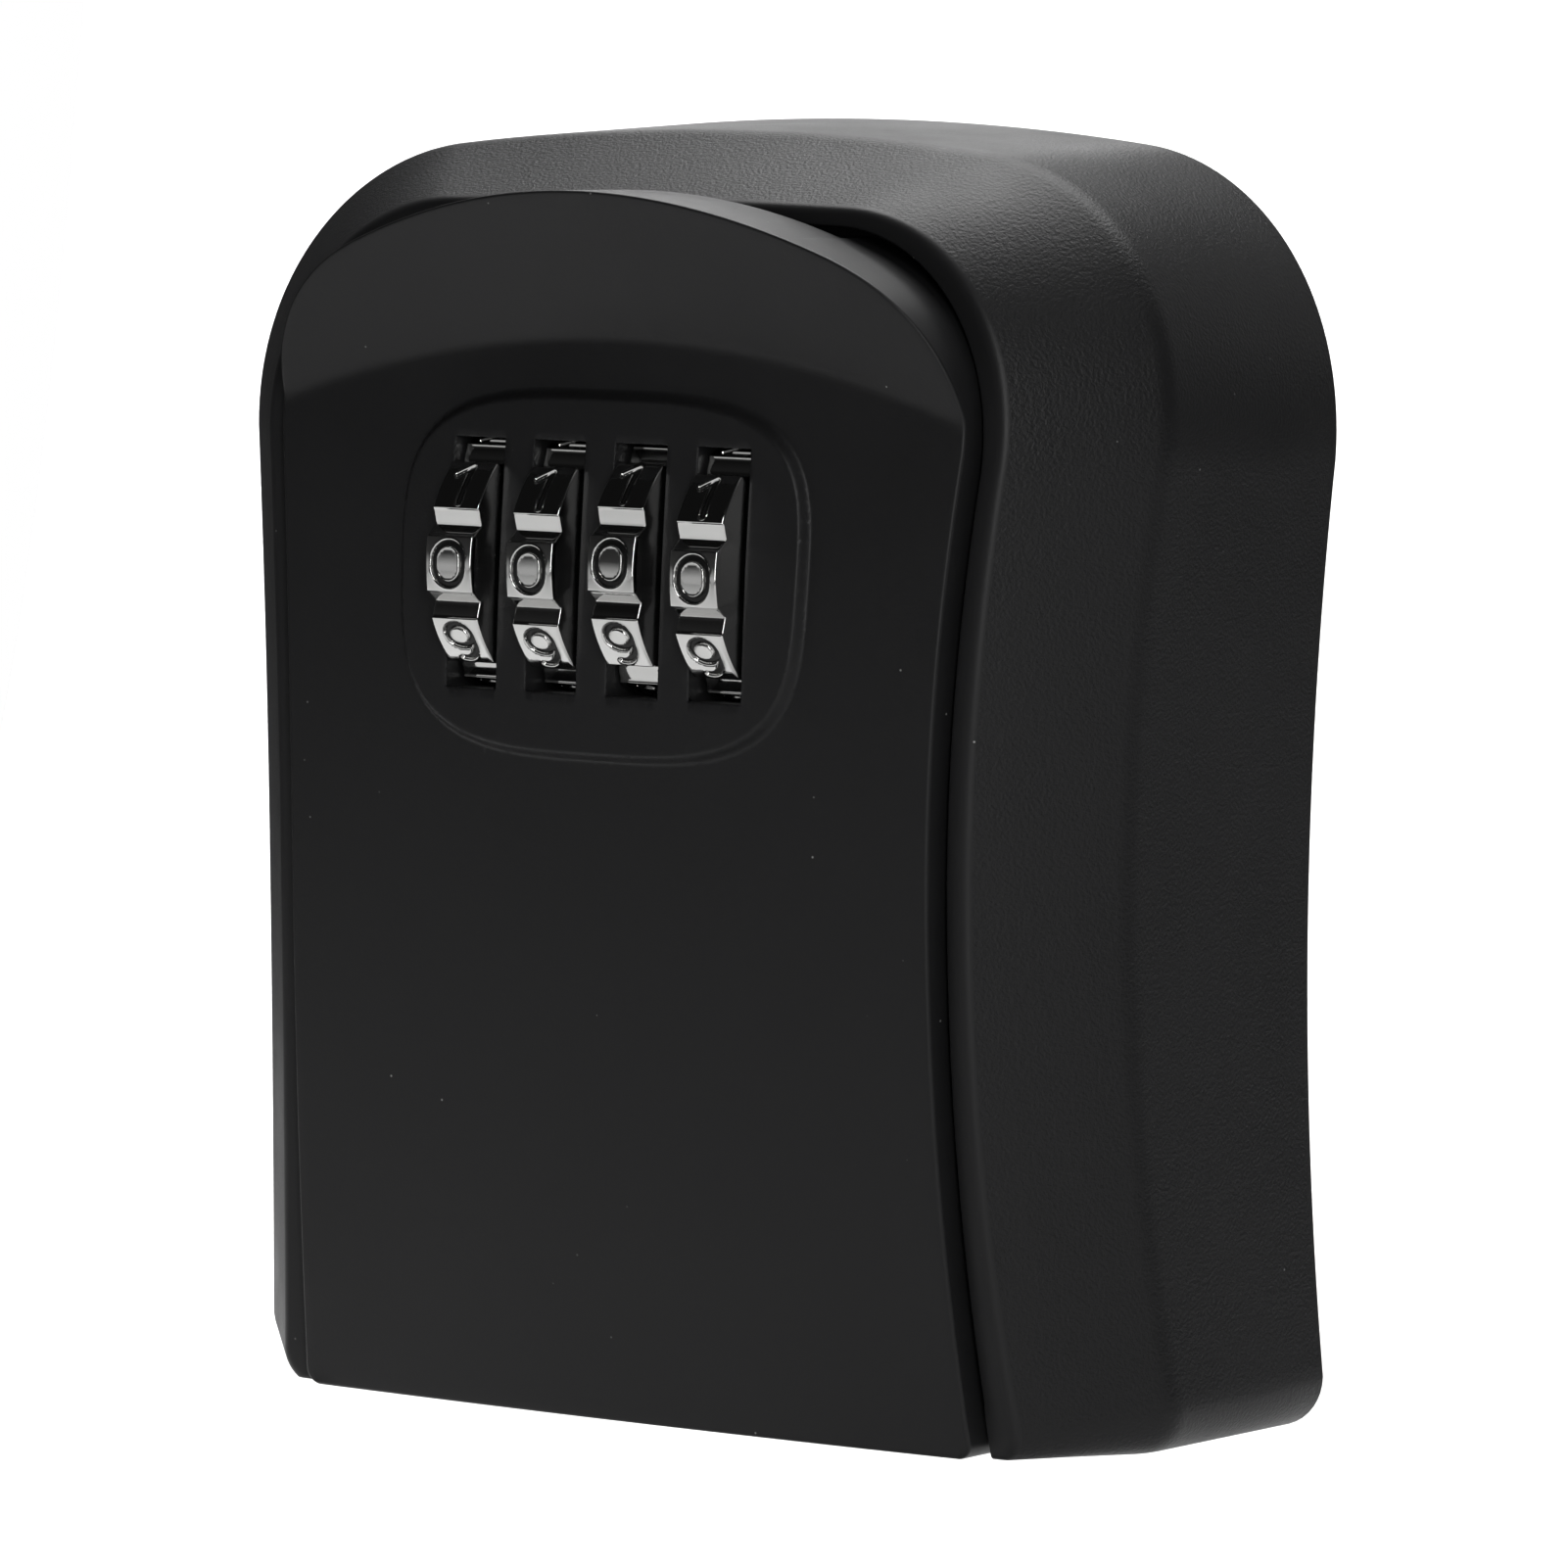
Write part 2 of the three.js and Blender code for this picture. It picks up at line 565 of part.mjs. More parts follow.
function latchBar() {
  const plate = box([-18, 18], LATCH_Y, [13, 30]);
  const outline = new THREE.Shape();
  outline.moveTo(-LATCH_HALF, 29.9);
  outline.lineTo(LATCH_HALF, 29.9);
  outline.lineTo(LATCH_HALF, LATCH_TOP - 1.5);
  outline.lineTo(LATCH_HALF - 1.5, LATCH_TOP);
  outline.lineTo(-LATCH_HALF + 1.5, LATCH_TOP);
  outline.lineTo(-LATCH_HALF, LATCH_TOP - 1.5);
  outline.closePath();
  const tongue = new THREE.ExtrudeGeometry(outline, { depth: LATCH_Y[1] - LATCH_Y[0], bevelEnabled: false });
  tongue.rotateX(Math.PI / 2);
  tongue.translate(0, LATCH_Y[1], 0);
  const fence = dialIndexes.map((i) => (
    box(FENCE_X.map((x) => dialX(i) + x), [DIAL_Y + FENCE_REACH, LATCH_Y[0] + 0.2], [DIAL_Z - 1, DIAL_Z + 1])
  ));
  return join(plate, toSolid(tongue), ...fence);
}

class SpringCurve extends THREE.Curve {
  constructor(centre, radius, bottom, top, turns) {
    super();
    Object.assign(this, { centre, radius, bottom, top, turns });
  }

  getPoint(t, target = new THREE.Vector3()) {
    const angle = 2 * Math.PI * this.turns * t;
    return target.set(
      this.centre[0] + this.radius * Math.cos(angle),
      this.centre[1] + this.radius * Math.sin(angle),
      this.bottom + (this.top - this.bottom) * t,
    );
  }
}

function latchSpring(side) {
  const corners = [0, 1, 2, 3, 4].map((i) => i * 2 * Math.PI / 5);
  const wire = new THREE.Shape(corners.map((a) => new THREE.Vector2(0.25 * Math.cos(a), 0.25 * Math.sin(a))));
  const turns = 5;
  const path = new SpringCurve([side * 12, -23.7], 1.05, 7.0, 12.4, turns);
  return toSolid(new THREE.ExtrudeGeometry(wire, { extrudePath: path, steps: turns * 8 }));
}

function resetLever() {
  return join(
    box([-6.5, 0.5], [-24, CASE_BACK - CASE_WALL - GAP], [7.2, 11.2]),
    box(RESET_X, [-23, -17.6], [RESET_SLOT_Z[0] + 0.4, RESET_SLOT_Z[1] - 0.4]),
  );
}

// ---- assembly ---------------------------------------------------------------------------------

const finishes = {
  blackPlastic: { color: 0x161616, roughness: 0.5, metalness: 0 },
  darkPlastic: { color: 0x242424, roughness: 0.6, metalness: 0 },
  chrome: { color: 0xd8d8da, roughness: 0.12, metalness: 1 },
  steel: { color: 0x9a9a9c, roughness: 0.35, metalness: 1 },
  brass: { color: 0xb08d4a, roughness: 0.35, metalness: 1 },
  redPlastic: { color: 0x9c2b20, roughness: 0.5, metalness: 0 },
};

const assembly = new THREE.Group();

function place(name, solid, finish) {
  const mesh = new THREE.Mesh(toGeometry(solid), new THREE.MeshStandardMaterial(finishes[finish]));
  mesh.name = name;
  assembly.add(mesh);
}

place('housing_shell', housingShell(), 'blackPlastic');
place('back_plate', backPlate(), 'steel');
plateScrews.forEach((at, i) => place(`plate_screw_${i + 1}`, plateScrew(at), 'steel'));
place('strike_plate', strikePlate(), 'steel');
place('strike_screw_left', strikeScrew(-1), 'steel');
place('strike_screw_right', strikeScrew(1), 'steel');
place('hinge_pin_left', hingePin(-1), 'steel');
place('hinge_pin_right', hingePin(1), 'steel');

place('door_shell', doorShell(), 'blackPlastic');
place('lock_case', lockCase(), 'darkPlastic');
CASE_EAR_Z.forEach((z, row) => [-1, 1].forEach((side, column) => (
  place(`case_screw_${row * 2 + column + 1}`, caseScrew(side, z), 'steel')
)));
place('dial_shaft', bar('x', [DIAL_Y, DIAL_Z], -29.2, 29.2, SHAFT_R), 'steel');
place('shaft_clip_left', washer(-28.2, -CASE_HALF - GAP, 3.6), 'steel');
place('shaft_clip_right', washer(CASE_HALF + GAP, 28.2, 3.6), 'steel');
dialIndexes.slice(1).forEach((i) => {
  const end = dialX(i) + COLLAR_X[0];
  place(`dial_spacer_${i}`, washer(end - 1.7, end - GAP, 3.6), 'darkPlastic');
});
dialIndexes.forEach((i) => {
  place(`number_wheel_${i + 1}`, numberWheel(i), 'chrome');
  place(`code_sleeve_${i + 1}`, codeSleeve(i), 'brass');
});
place('detent_spring', detentSpring(), 'steel');
place('latch_bar', latchBar(), 'steel');
place('latch_spring_left', latchSpring(-1), 'steel');
place('latch_spring_right', latchSpring(1), 'steel');
place('reset_lever', resetLever(), 'redPlastic');

export default assembly;
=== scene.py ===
"""Key lock box: the looks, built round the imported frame.

Shapes are worked out in millimetres, in the frame's axes, and turned into metres when a mesh is made.
X is to the right, -Y out of the front, +Z up; the wall face is the plane y = 0.
"""

import json
import math

import bmesh
import bpy
import numpy as np
from mathutils import Matrix, Vector
from mathutils.geometry import delaunay_2d_cdt


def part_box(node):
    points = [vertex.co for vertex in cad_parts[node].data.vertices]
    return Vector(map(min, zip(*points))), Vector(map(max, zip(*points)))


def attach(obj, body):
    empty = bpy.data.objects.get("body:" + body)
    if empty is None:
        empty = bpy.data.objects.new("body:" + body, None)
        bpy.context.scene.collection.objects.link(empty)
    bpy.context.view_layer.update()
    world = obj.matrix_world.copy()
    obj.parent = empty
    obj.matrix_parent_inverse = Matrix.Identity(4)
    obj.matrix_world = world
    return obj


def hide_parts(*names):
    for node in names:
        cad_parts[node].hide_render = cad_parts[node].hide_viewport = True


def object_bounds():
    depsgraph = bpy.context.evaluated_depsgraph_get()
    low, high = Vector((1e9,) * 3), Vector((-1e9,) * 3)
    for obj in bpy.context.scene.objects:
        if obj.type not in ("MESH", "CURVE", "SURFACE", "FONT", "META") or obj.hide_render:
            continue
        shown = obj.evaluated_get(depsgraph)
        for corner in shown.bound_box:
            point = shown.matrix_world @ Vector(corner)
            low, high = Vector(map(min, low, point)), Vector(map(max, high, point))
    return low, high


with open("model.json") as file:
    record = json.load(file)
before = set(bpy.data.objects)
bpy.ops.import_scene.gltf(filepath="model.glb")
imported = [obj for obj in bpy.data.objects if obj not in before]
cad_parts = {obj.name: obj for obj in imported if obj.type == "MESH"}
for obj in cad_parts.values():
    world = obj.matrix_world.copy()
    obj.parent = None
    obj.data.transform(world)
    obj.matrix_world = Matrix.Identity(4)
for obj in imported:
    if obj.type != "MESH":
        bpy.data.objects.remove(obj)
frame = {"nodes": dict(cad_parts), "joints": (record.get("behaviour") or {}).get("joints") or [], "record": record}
cad_low, cad_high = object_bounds()
MM = 0.001


def box_mm(node):
    """Lowest and highest corner of a CAD node, in millimetres."""
    low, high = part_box(node)
    return np.array(low) / MM, np.array(high) / MM


def centre_line(node, axis):
    """Where a screw's centre line runs, as its two coordinates across the y or z axis."""
    low, high = box_mm(node)
    return tuple((low[i] + high[i]) / 2 for i in ((0, 2) if axis == "y" else (0, 1)))


# ---- driving dimensions, mm ---------------------------------------------------------------------

BOTTOM = cad_low.z / MM
WAIST_Z = -10.0
WALL = 2.6

FRONT_Y = -43.6  # door front at its edge, at its deepest
BULGE_Z = 4.0
BULGE = 0.0015
CROWN = 1.0
CROWN_HALF = 37.0
CREASE_SETBACK = 13.7
RIM_SETBACK = 1.9
RIM_ROUNDING = 0.8
STOP_SETBACK = (7.4, 9.4)
SKIRT_SETBACK = 7.0
SKIN = 2.2
SKIRT = 2.2
EDGE_R = 0.38  # rounding of the door's front edge

LIP_CREASE_Z = 40.9
LIP_CREASE_R = 110.0
LIP_SLOPE_EDGE = 0.42
LIP_SLOPE_MIDDLE = 0.56
LIP_LEDGE_Z = 50.6
LIP_LEDGE_Y = -39.3
CREASE_FILLET = 0.35

PAD_TOP = 36.2
PAD_BOTTOM = 1.9
PAD_WIDTH = 23.4
PAD_FOOT = 22.4
PAD_RISE = 1.05
PAD_WALL = 1.0  # width of the pad's sloped edge
PAD_POWER = 3.4

SLOT_WIDTH = 5.7
SLOT_HEIGHT = 23.2
SLOT_EDGE_R = 0.16

WHEELS = [f"number_wheel_{i}" for i in range(1, 5)]
WHEEL_BOXES = [box_mm(name) for name in WHEELS]
DIAL_XS = [float(low[0] + high[0]) / 2 for low, high in WHEEL_BOXES]
DIAL_WIDTH = float(WHEEL_BOXES[0][1][0] - WHEEL_BOXES[0][0][0])
DIAL_HINGE = next(j for j in frame["joints"] if j["name"] == "dial_1_spin")["pos_m"]
DIAL_Y = DIAL_HINGE[1] / MM
DIAL_Z = DIAL_HINGE[2] / MM
DIAL_R = 12.5
NOTCH_R = 11.35
TOOTH_HALF = math.radians(12.2)
DIAL_BORE = 7.2

DOOR_HINGE = next(j for j in frame["joints"] if j["name"] == "door_hinge")["pos_m"]
HINGE_Y = DOOR_HINGE[1] / MM
HINGE_Z = DOOR_HINGE[2] / MM
PIN_HOLE_R = 1.55
FOOT_BACK = HINGE_Y + 6.8  # the housing's floor ends here
HOLLOW_SETBACK = (5.3, CREASE_SETBACK + 1.5)  # from the front to the back of the chamfer's inner face
EAR_R = 3.2  # the door's hinge ears
EAR_SPAN = (33.2, 36.7)
EAR_FRONT = -37.6
PLATE_BOSS_R = 3.6
STRIKE_POST_R = 3.2
CASE_BOSS_R = 2.9
CASE_SEAT_Y = -38.9  # the lock case rests here on its bosses
PILOT_R = 1.5  # screw holes in the housing
CASE_PILOT_R = 1.4
SIDEWAYS = (-50, 50)  # wider than the box, for blocks that cut or trim right across it


# ---- outlines -----------------------------------------------------------------------------------

OUTLINES = {
    "back": dict(waist=50.05, up=0.0012, down=0.0013, top=61.1, arch=260, shoulder=(31, 30.5), corner=5),
    "crease": dict(waist=48.95, up=0.0015, down=0.0013, top=60, arch=260, shoulder=(30.5, 31), corner=4.5),
    "rim": dict(waist=37.95, up=0.0015, down=0.0013, top=53, arch=900, shoulder=(22, 31), corner=2.6),
    "doorway": dict(waist=36.5, up=0.0015, down=0.0009, top=51.9, arch=900, shoulder=(21.3, 30), corner=2.6),
    "stop": dict(waist=34.35, up=0.0014, down=0.0008, top=50.5, arch=900, shoulder=(20.5, 29.5), corner=3),
    "door": dict(waist=35.85, up=0.0014, down=0.0008, top=54.5, arch=66, shoulder=(26, 31.5), corner=1.5),
}


def side_x(outline, z):
    rise = z - WAIST_Z
    return outline["waist"] + (outline["up"] if rise > 0 else outline["down"]) * rise * rise


def half_outline(name, inset=0.0, bottom=None):
    """Half of an outline as [x, z] points, from its bottom centre up to its top centre."""
    outline = OUTLINES[name]
    bottom = BOTTOM if bottom is None else bottom
    shoulder_x, shoulder_z = outline["shoulder"]
    corner = outline["corner"]
    corner_x = side_x(outline, bottom + corner)
    points = [(t * (corner_x - corner), bottom) for t in np.linspace(0, 1, 12)[:-1]]
    for angle in np.linspace(-math.pi / 2, 0, 11):
        across, up = corner * math.cos(angle), corner * math.sin(angle)
        points.append((corner_x - corner + across, bottom + corner + up))
    for z in np.linspace(bottom + corner, shoulder_z, 61)[1:]:
        points.append((side_x(outline, z), z))
    start = np.array([side_x(outline, shoulder_z), shoulder_z])
    end = np.array([shoulder_x, outline["top"] - shoulder_x ** 2 / (2 * outline["arch"])])
    reach = 0.56 * (end[1] - start[1])
    across = 0.56 * (start[0] - end[0])
    lean = 2 * outline["up"] * (shoulder_z - WAIST_Z)
    first = start + np.array([lean * reach * 0.6, reach])
    second = end + np.array([across, -across * shoulder_x / outline["arch"]])
    for t in np.linspace(0, 1, 41)[1:]:
        s = 1 - t
        points.append(tuple(s ** 3 * start + 3 * s * s * t * first + 3 * s * t * t * second + t ** 3 * end))
    for x in np.linspace(shoulder_x, 0, 25)[1:]:
        points.append((x, outline["top"] - x * x / (2 * outline["arch"])))
    points = np.array(points)
    return points if inset == 0 else inset_half(points, inset)


def inset_half(points, inset):
    """Moves a half outline along its inward normals; its two ends stay on the centre line."""
    along = np.empty_like(points)
    along[1:-1] = points[2:] - points[:-2]
    along[0], along[-1] = (1, 0), (-1, 0)
    along /= np.linalg.norm(along, axis=1)[:, None]
    return points + inset * np.stack([-along[:, 1], along[:, 0]], 1)


def whole(half):
    """The closed outline of a half outline."""
    left = half[1:-1][::-1] * (-1, 1)
    return np.vstack([half, left])


def edge_y(z):
    return FRONT_Y + BULGE * (z - BULGE_Z) ** 2


def ring(half, setback=None, y=None):
    outline = whole(half)
    depth = np.full(len(outline), y) if setback is None else edge_y(outline[:, 1]) + setback
    return np.stack([outline[:, 0], depth, outline[:, 1]], 1)


# ---- door front ---------------------------------------------------------------------------------

def front_y(x, z):
    return edge_y(z) - CROWN * (1 - (x / CROWN_HALF) ** 2)


def crease_z(x):
    return LIP_CREASE_Z - x * x / (2 * LIP_CREASE_R)


def lip_y(x, z):
    share = 1 - (x / CROWN_HALF) ** 2
    slope = LIP_SLOPE_EDGE + (LIP_SLOPE_MIDDLE - LIP_SLOPE_EDGE) * share
    return front_y(x, crease_z(x)) - slope * (z - crease_z(x))


def plain_front(x, z):
    """The door's front with its finger lip, without the pad: the more forward of two surfaces."""
    main, lip = front_y(x, z), lip_y(x, z)
    overlap = np.maximum(CREASE_FILLET - np.abs(main - lip), 0) / CREASE_FILLET
    return np.minimum(main, lip) - overlap ** 2 * CREASE_FILLET / 4


def pad_radius(x, z):
    """1 on the pad's outline and smaller inside it."""
    middle, half = (PAD_TOP + PAD_BOTTOM) / 2, (PAD_TOP - PAD_BOTTOM) / 2
    width = PAD_FOOT + (PAD_WIDTH - PAD_FOOT) * (z - PAD_BOTTOM) / (PAD_TOP - PAD_BOTTOM)
    return (np.abs(x / width) ** PAD_POWER + np.abs((z - middle) / half) ** PAD_POWER) ** (1 / PAD_POWER)


def pad_lift(x, z):
    step = 0.02
    radius = pad_radius(x, z)
    slope_x = (pad_radius(x + step, z) - pad_radius(x - step, z)) / (2 * step)
    slope_z = (pad_radius(x, z + step) - pad_radius(x, z - step)) / (2 * step)
    inside = (1 - radius) / np.maximum(np.hypot(slope_x, slope_z), 0.02)
    share = np.clip(inside / PAD_WALL, 0, 1)
    return PAD_RISE * share ** 2 * (3 - 2 * share)


def slot_edge(x, z):
    """How far the rounded edge of a slot lies behind the pad's face."""
    sunk = np.zeros_like(x)
    for centre in DIAL_XS:
        across = np.abs(x - centre) - SLOT_WIDTH / 2
        up = np.abs(z - DIAL_Z) - SLOT_HEIGHT / 2
        distance = np.hypot(np.maximum(across, 0), np.maximum(up, 0))
        share = np.clip(1 - distance / SLOT_EDGE_R, 0, 1)
        sunk = np.maximum(sunk, SLOT_EDGE_R * (1 - np.sqrt(1 - share ** 2)))
    return sunk


def door_front(x, z):
    return plain_front(x, z) - pad_lift(x, z) + slot_edge(x, z)


def pad_rings():
    """Points that follow the pad's sloped wall all the way round."""
    middle, half = (PAD_TOP + PAD_BOTTOM) / 2, (PAD_TOP - PAD_BOTTOM) / 2
    angle = np.linspace(0, 2 * math.pi, 4001)
    c, s = np.cos(angle), np.sin(angle)
    points = []
    for scale in np.linspace(0.935, 1.01, 13):
        z = middle + half * scale * np.sign(s) * np.abs(s) ** (2 / PAD_POWER)
        width = PAD_FOOT + (PAD_WIDTH - PAD_FOOT) * (z - PAD_BOTTOM) / (PAD_TOP - PAD_BOTTOM)
        fine = np.stack([width * scale * np.sign(c) * np.abs(c) ** (2 / PAD_POWER), z], 1)
        walked = np.concatenate([[0], np.cumsum(np.hypot(*np.diff(fine, axis=0).T))])
        even = np.linspace(0, walked[-1], 241)[:-1]
        points.append(np.stack([np.interp(even, walked, fine[:, k]) for k in (0, 1)], 1))
    return np.vstack(points)


def crease_lines():
    x = np.linspace(-CROWN_HALF, CROWN_HALF, 149)
    lifts = (-1.2, -0.6, -0.25, 0, 0.25, 0.6, 1.2)
    return np.vstack([np.stack([x, crease_z(x) + lift], 1) for lift in lifts])


def slot_lines():
    points = []
    for centre in DIAL_XS:
        for out in (0.0, 0.04, 0.09, SLOT_EDGE_R + 0.01):
            a, b = SLOT_WIDTH / 2 + out, SLOT_HEIGHT / 2 + out
            side = np.linspace(-b, b, 60)
            end = np.linspace(-a, a, 16)
            for sign in (-1, 1):
                points.append(np.stack([np.full(60, centre + sign * a), DIAL_Z + side], 1))
                points.append(np.stack([centre + end, np.full(16, DIAL_Z + sign * b)], 1))
    return np.vstack(points)


# ---- mesh making --------------------------------------------------------------------------------

def mesh_object(name, points, faces, sharp=32):
    """An object from points in millimetres, smooth except where faces meet at more than sharp degrees."""
    mesh = bpy.data.meshes.new(name)
    mesh.from_pydata((np.asarray(points) * MM).tolist(), [], [list(map(int, f)) for f in faces])
    mesh.validate()
    mesh.update()
    piece = bpy.data.objects.new(name, mesh)
    bpy.context.scene.collection.objects.link(piece)
    smooth(piece, sharp)
    return piece


def smooth(piece, sharp=32):
    piece.data.shade_smooth()
    piece.data.set_sharp_from_angle(angle=math.radians(sharp))


def outward(piece):
    """Winds a closed mesh so that its faces point out."""
    working = bmesh.new()
    working.from_mesh(piece.data)
    bmesh.ops.remove_doubles(working, verts=working.verts, dist=1e-7)
    bmesh.ops.recalc_face_normals(working, faces=working.faces)
    if working.calc_volume(signed=True) < 0:
        bmesh.ops.reverse_faces(working, faces=working.faces)
    working.to_mesh(piece.data)
    working.free()
    return piece


def loft(name, rings, ends=True):
    """A closed skin through rings; without ends, the last ring joins the first."""
    count = len(rings[0])
    faces = []
    last = len(rings) - 1 if ends else len(rings)
    for level in range(last):
        a, b = level * count, ((level + 1) % len(rings)) * count
        for i in range(count):
            j = (i + 1) % count
            faces.append((a + i, a + j, b + j, b + i))
    if ends:
        faces.append(tuple(range(count)))
        faces.append(tuple(range(last * count, (last + 1) * count)))
    return outward(mesh_object(name, np.vstack(rings), faces))


def rounded(rings, radii, steps=6):
    """Rings with each corner of the section eased over its radius."""
    made = []
    count = len(rings)
    for i, (corner, radius) in enumerate(zip(rings, radii)):
        if radius == 0:
            made.append(corner)
            continue
        before, after = rings[i - 1], rings[(i + 1) % count]
        into = before - corner
        out = after - corner
        into = into / np.linalg.norm(into, axis=1)[:, None] * radius
        out = out / np.linalg.norm(out, axis=1)[:, None] * radius
        for t in np.linspace(0, 1, steps + 1):
            made.append(corner + into * (1 - t) ** 2 + out * t ** 2)
    return made


def relief_block(name, half, height, back_y, edge_r=0.0, features=(), spacing=0.9):
    """A closed block with an outline, a shaped front given by height(x, z) and a flat back."""
    outline = whole(half)
    bands = [outline]
    sunk = [edge_r]
    for share in ((0.06, 0.2, 0.42, 0.7, 1.0) if edge_r else ()):
        bands.append(whole(inset_half(half, edge_r * share)))
        sunk.append(edge_r * (1 - math.sqrt(1 - (1 - share) ** 2)))
    low, high = outline.min(0), outline.max(0)
    across = np.arange(low[0] + spacing / 2, high[0], spacing)
    up = np.arange(low[1] + spacing / 2, high[1], spacing)
    grid = np.stack(np.meshgrid(across, up), -1).reshape(-1, 2)
    loose = np.vstack([grid, *features])
    keep = inside(loose, whole(inset_half(half, edge_r + 0.25)))
    loose = loose[keep]
    flat = np.vstack([*bands, loose])
    back = np.zeros(len(flat))
    count = len(outline)
    creases = []  # the rounded edge is meshed band by band
    for level, depth in enumerate(sunk):
        start = level * count
        back[start:start + count] = depth
        creases += [(start + k, start + (k + 1) % count) for k in range(count if level else 0)]
    loop = list(range(count))
    made = delaunay_2d_cdt([Vector(p) for p in flat], creases, [loop], 1, 1e-5)
    x, z = np.array([tuple(p) for p in made[0]]).T
    origins = made[3]
    depth = np.array([back[o[0]] if len(o) else 0.0 for o in origins])
    front = np.stack([x, height(x, z) + depth, z], 1)
    rear = np.stack([x, back_y(z), z], 1)
    used = {o: i for i, group in enumerate(origins) for o in group}
    edge = [used[i] for i in loop]
    faces = [tuple(f) for f in made[2]]
    faces += [tuple(i + len(front) for i in reversed(f)) for f in faces]
    for a, b in zip(edge, edge[1:] + edge[:1]):
        faces.append((a, b, b + len(front), a + len(front)))
    return outward(mesh_object(name, np.vstack([front, rear]), faces))


def inside(points, loop):
    """Which points lie within a closed outline."""
    x, z = points[:, 0], points[:, 1]
    found = np.zeros(len(points), bool)
    for (x0, z0), (x1, z1) in zip(loop, np.roll(loop, -1, 0)):
        crosses = (z0 > z) != (z1 > z)
        span = z1 - z0 if z1 != z0 else 1e-9
        found ^= crosses & (x < (x1 - x0) * (z - z0) / span + x0)
    return found


def block(name, x, y, z):
    corners = [(a, b, c) for a in x for b in y for c in z]
    faces = [(0, 1, 3, 2), (4, 6, 7, 5), (0, 4, 5, 1), (2, 3, 7, 6), (0, 2, 6, 4), (1, 5, 7, 3)]
    return outward(mesh_object(name, corners, faces))


def turned(name, axis, centre, profile, segments=64, hollow=False):
    """A body of revolution about an axis; profile is (position along the axis, radius) points."""
    angle = np.linspace(0, 2 * math.pi, segments + 1)[:-1]
    rings = []
    for along, radius in profile:
        u, v = radius * np.cos(angle), radius * np.sin(angle)
        w = np.full(segments, float(along))
        if axis == "x":
            rings.append(np.stack([w, centre[0] + u, centre[1] + v], 1))
        elif axis == "y":
            rings.append(np.stack([centre[0] + u, w, centre[1] + v], 1))
        else:
            rings.append(np.stack([centre[0] + u, centre[1] + v, w], 1))
    return loft(name, rings, ends=not hollow)


def cylinder(name, axis, centre, span, radius, segments):
    return turned(name, axis, centre, [(along, radius) for along in span], segments)


def combine(piece, operation, *others):
    """Joins or cuts closed solids, and removes the tools."""
    for other in others:
        change = piece.modifiers.new("combine", "BOOLEAN")
        change.operation = operation
        change.solver = "MANIFOLD"
        change.object = other
        result = bpy.data.meshes.new_from_object(
            piece.evaluated_get(bpy.context.evaluated_depsgraph_get())
        )
        piece.modifiers.clear()
        piece.data = result
        bpy.data.objects.remove(other)
    smooth(piece)
    return piece


# ---- materials ----------------------------------------------------------------------------------

class Shader:
    """A material on one Principled shader, with a few helpers for its textures."""

    def __init__(self, name, base, roughness, metallic=0.0, specular=0.5):
        self.material = bpy.data.materials.new(name)
        self.material.use_nodes = True
        self.tree = self.material.node_tree
        self.bsdf = self.tree.nodes["Principled BSDF"]
        self.bsdf.inputs["Base Color"].default_value = (*base, 1)
        self.bsdf.inputs["Roughness"].default_value = roughness
        self.bsdf.inputs["Metallic"].default_value = metallic
        self.bsdf.inputs["Specular IOR Level"].default_value = specular
        self.coordinates = self.node("ShaderNodeTexCoord").outputs["Object"]
        self.height = None

    def node(self, kind, **settings):
        made = self.tree.nodes.new(kind)
        for key, value in settings.items():
            setattr(made, key, value)
        return made

    def link(self, source, target):
        self.tree.links.new(source, target)

    def stretched(self, scale):
        mapping = self.node("ShaderNodeMapping")
        mapping.inputs["Scale"].default_value = scale
        self.link(self.coordinates, mapping.inputs["Vector"])
        return mapping.outputs["Vector"]

    def noise(self, scale, detail=3.0, roughness=0.55, vector=None):
        made = self.node("ShaderNodeTexNoise")
        made.inputs["Scale"].default_value = scale
        made.inputs["Detail"].default_value = detail
        made.inputs["Roughness"].default_value = roughness
        self.link(vector or self.coordinates, made.inputs["Vector"])
        return made.outputs["Fac"]

    def spread(self, value, low, high, start=0.3, end=0.7):
        """Maps a texture's middle range onto low to high."""
        made = self.node("ShaderNodeMapRange")
        made.inputs["From Min"].default_value = start
        made.inputs["From Max"].default_value = end
        made.inputs["To Min"].default_value = low
        made.inputs["To Max"].default_value = high
        self.link(value, made.inputs["Value"])
        return made.outputs["Result"]

    def mix(self, share, first, second):
        made = self.node("ShaderNodeMix", data_type="RGBA")
        self.link(share, made.inputs["Factor"])
        for socket, colour in ((made.inputs[6], first), (made.inputs[7], second)):
            if isinstance(colour, tuple):
                socket.default_value = (*colour, 1)
            else:
                self.link(colour, socket)
        return made.outputs[2]

    def bump(self, value, distance, strength=1.0):
        made = self.node("ShaderNodeBump")
        made.inputs["Distance"].default_value = distance
        made.inputs["Strength"].default_value = strength
        self.link(value, made.inputs["Height"])
        if self.height is not None:
            self.link(self.height, made.inputs["Normal"])
        self.height = made.outputs["Normal"]
        self.link(self.height, self.bsdf.inputs["Normal"])


DUST_CELLS = 330  # cells per metre, a few of which hold a speck
DUST_COLOUR = (0.5, 0.5, 0.49)


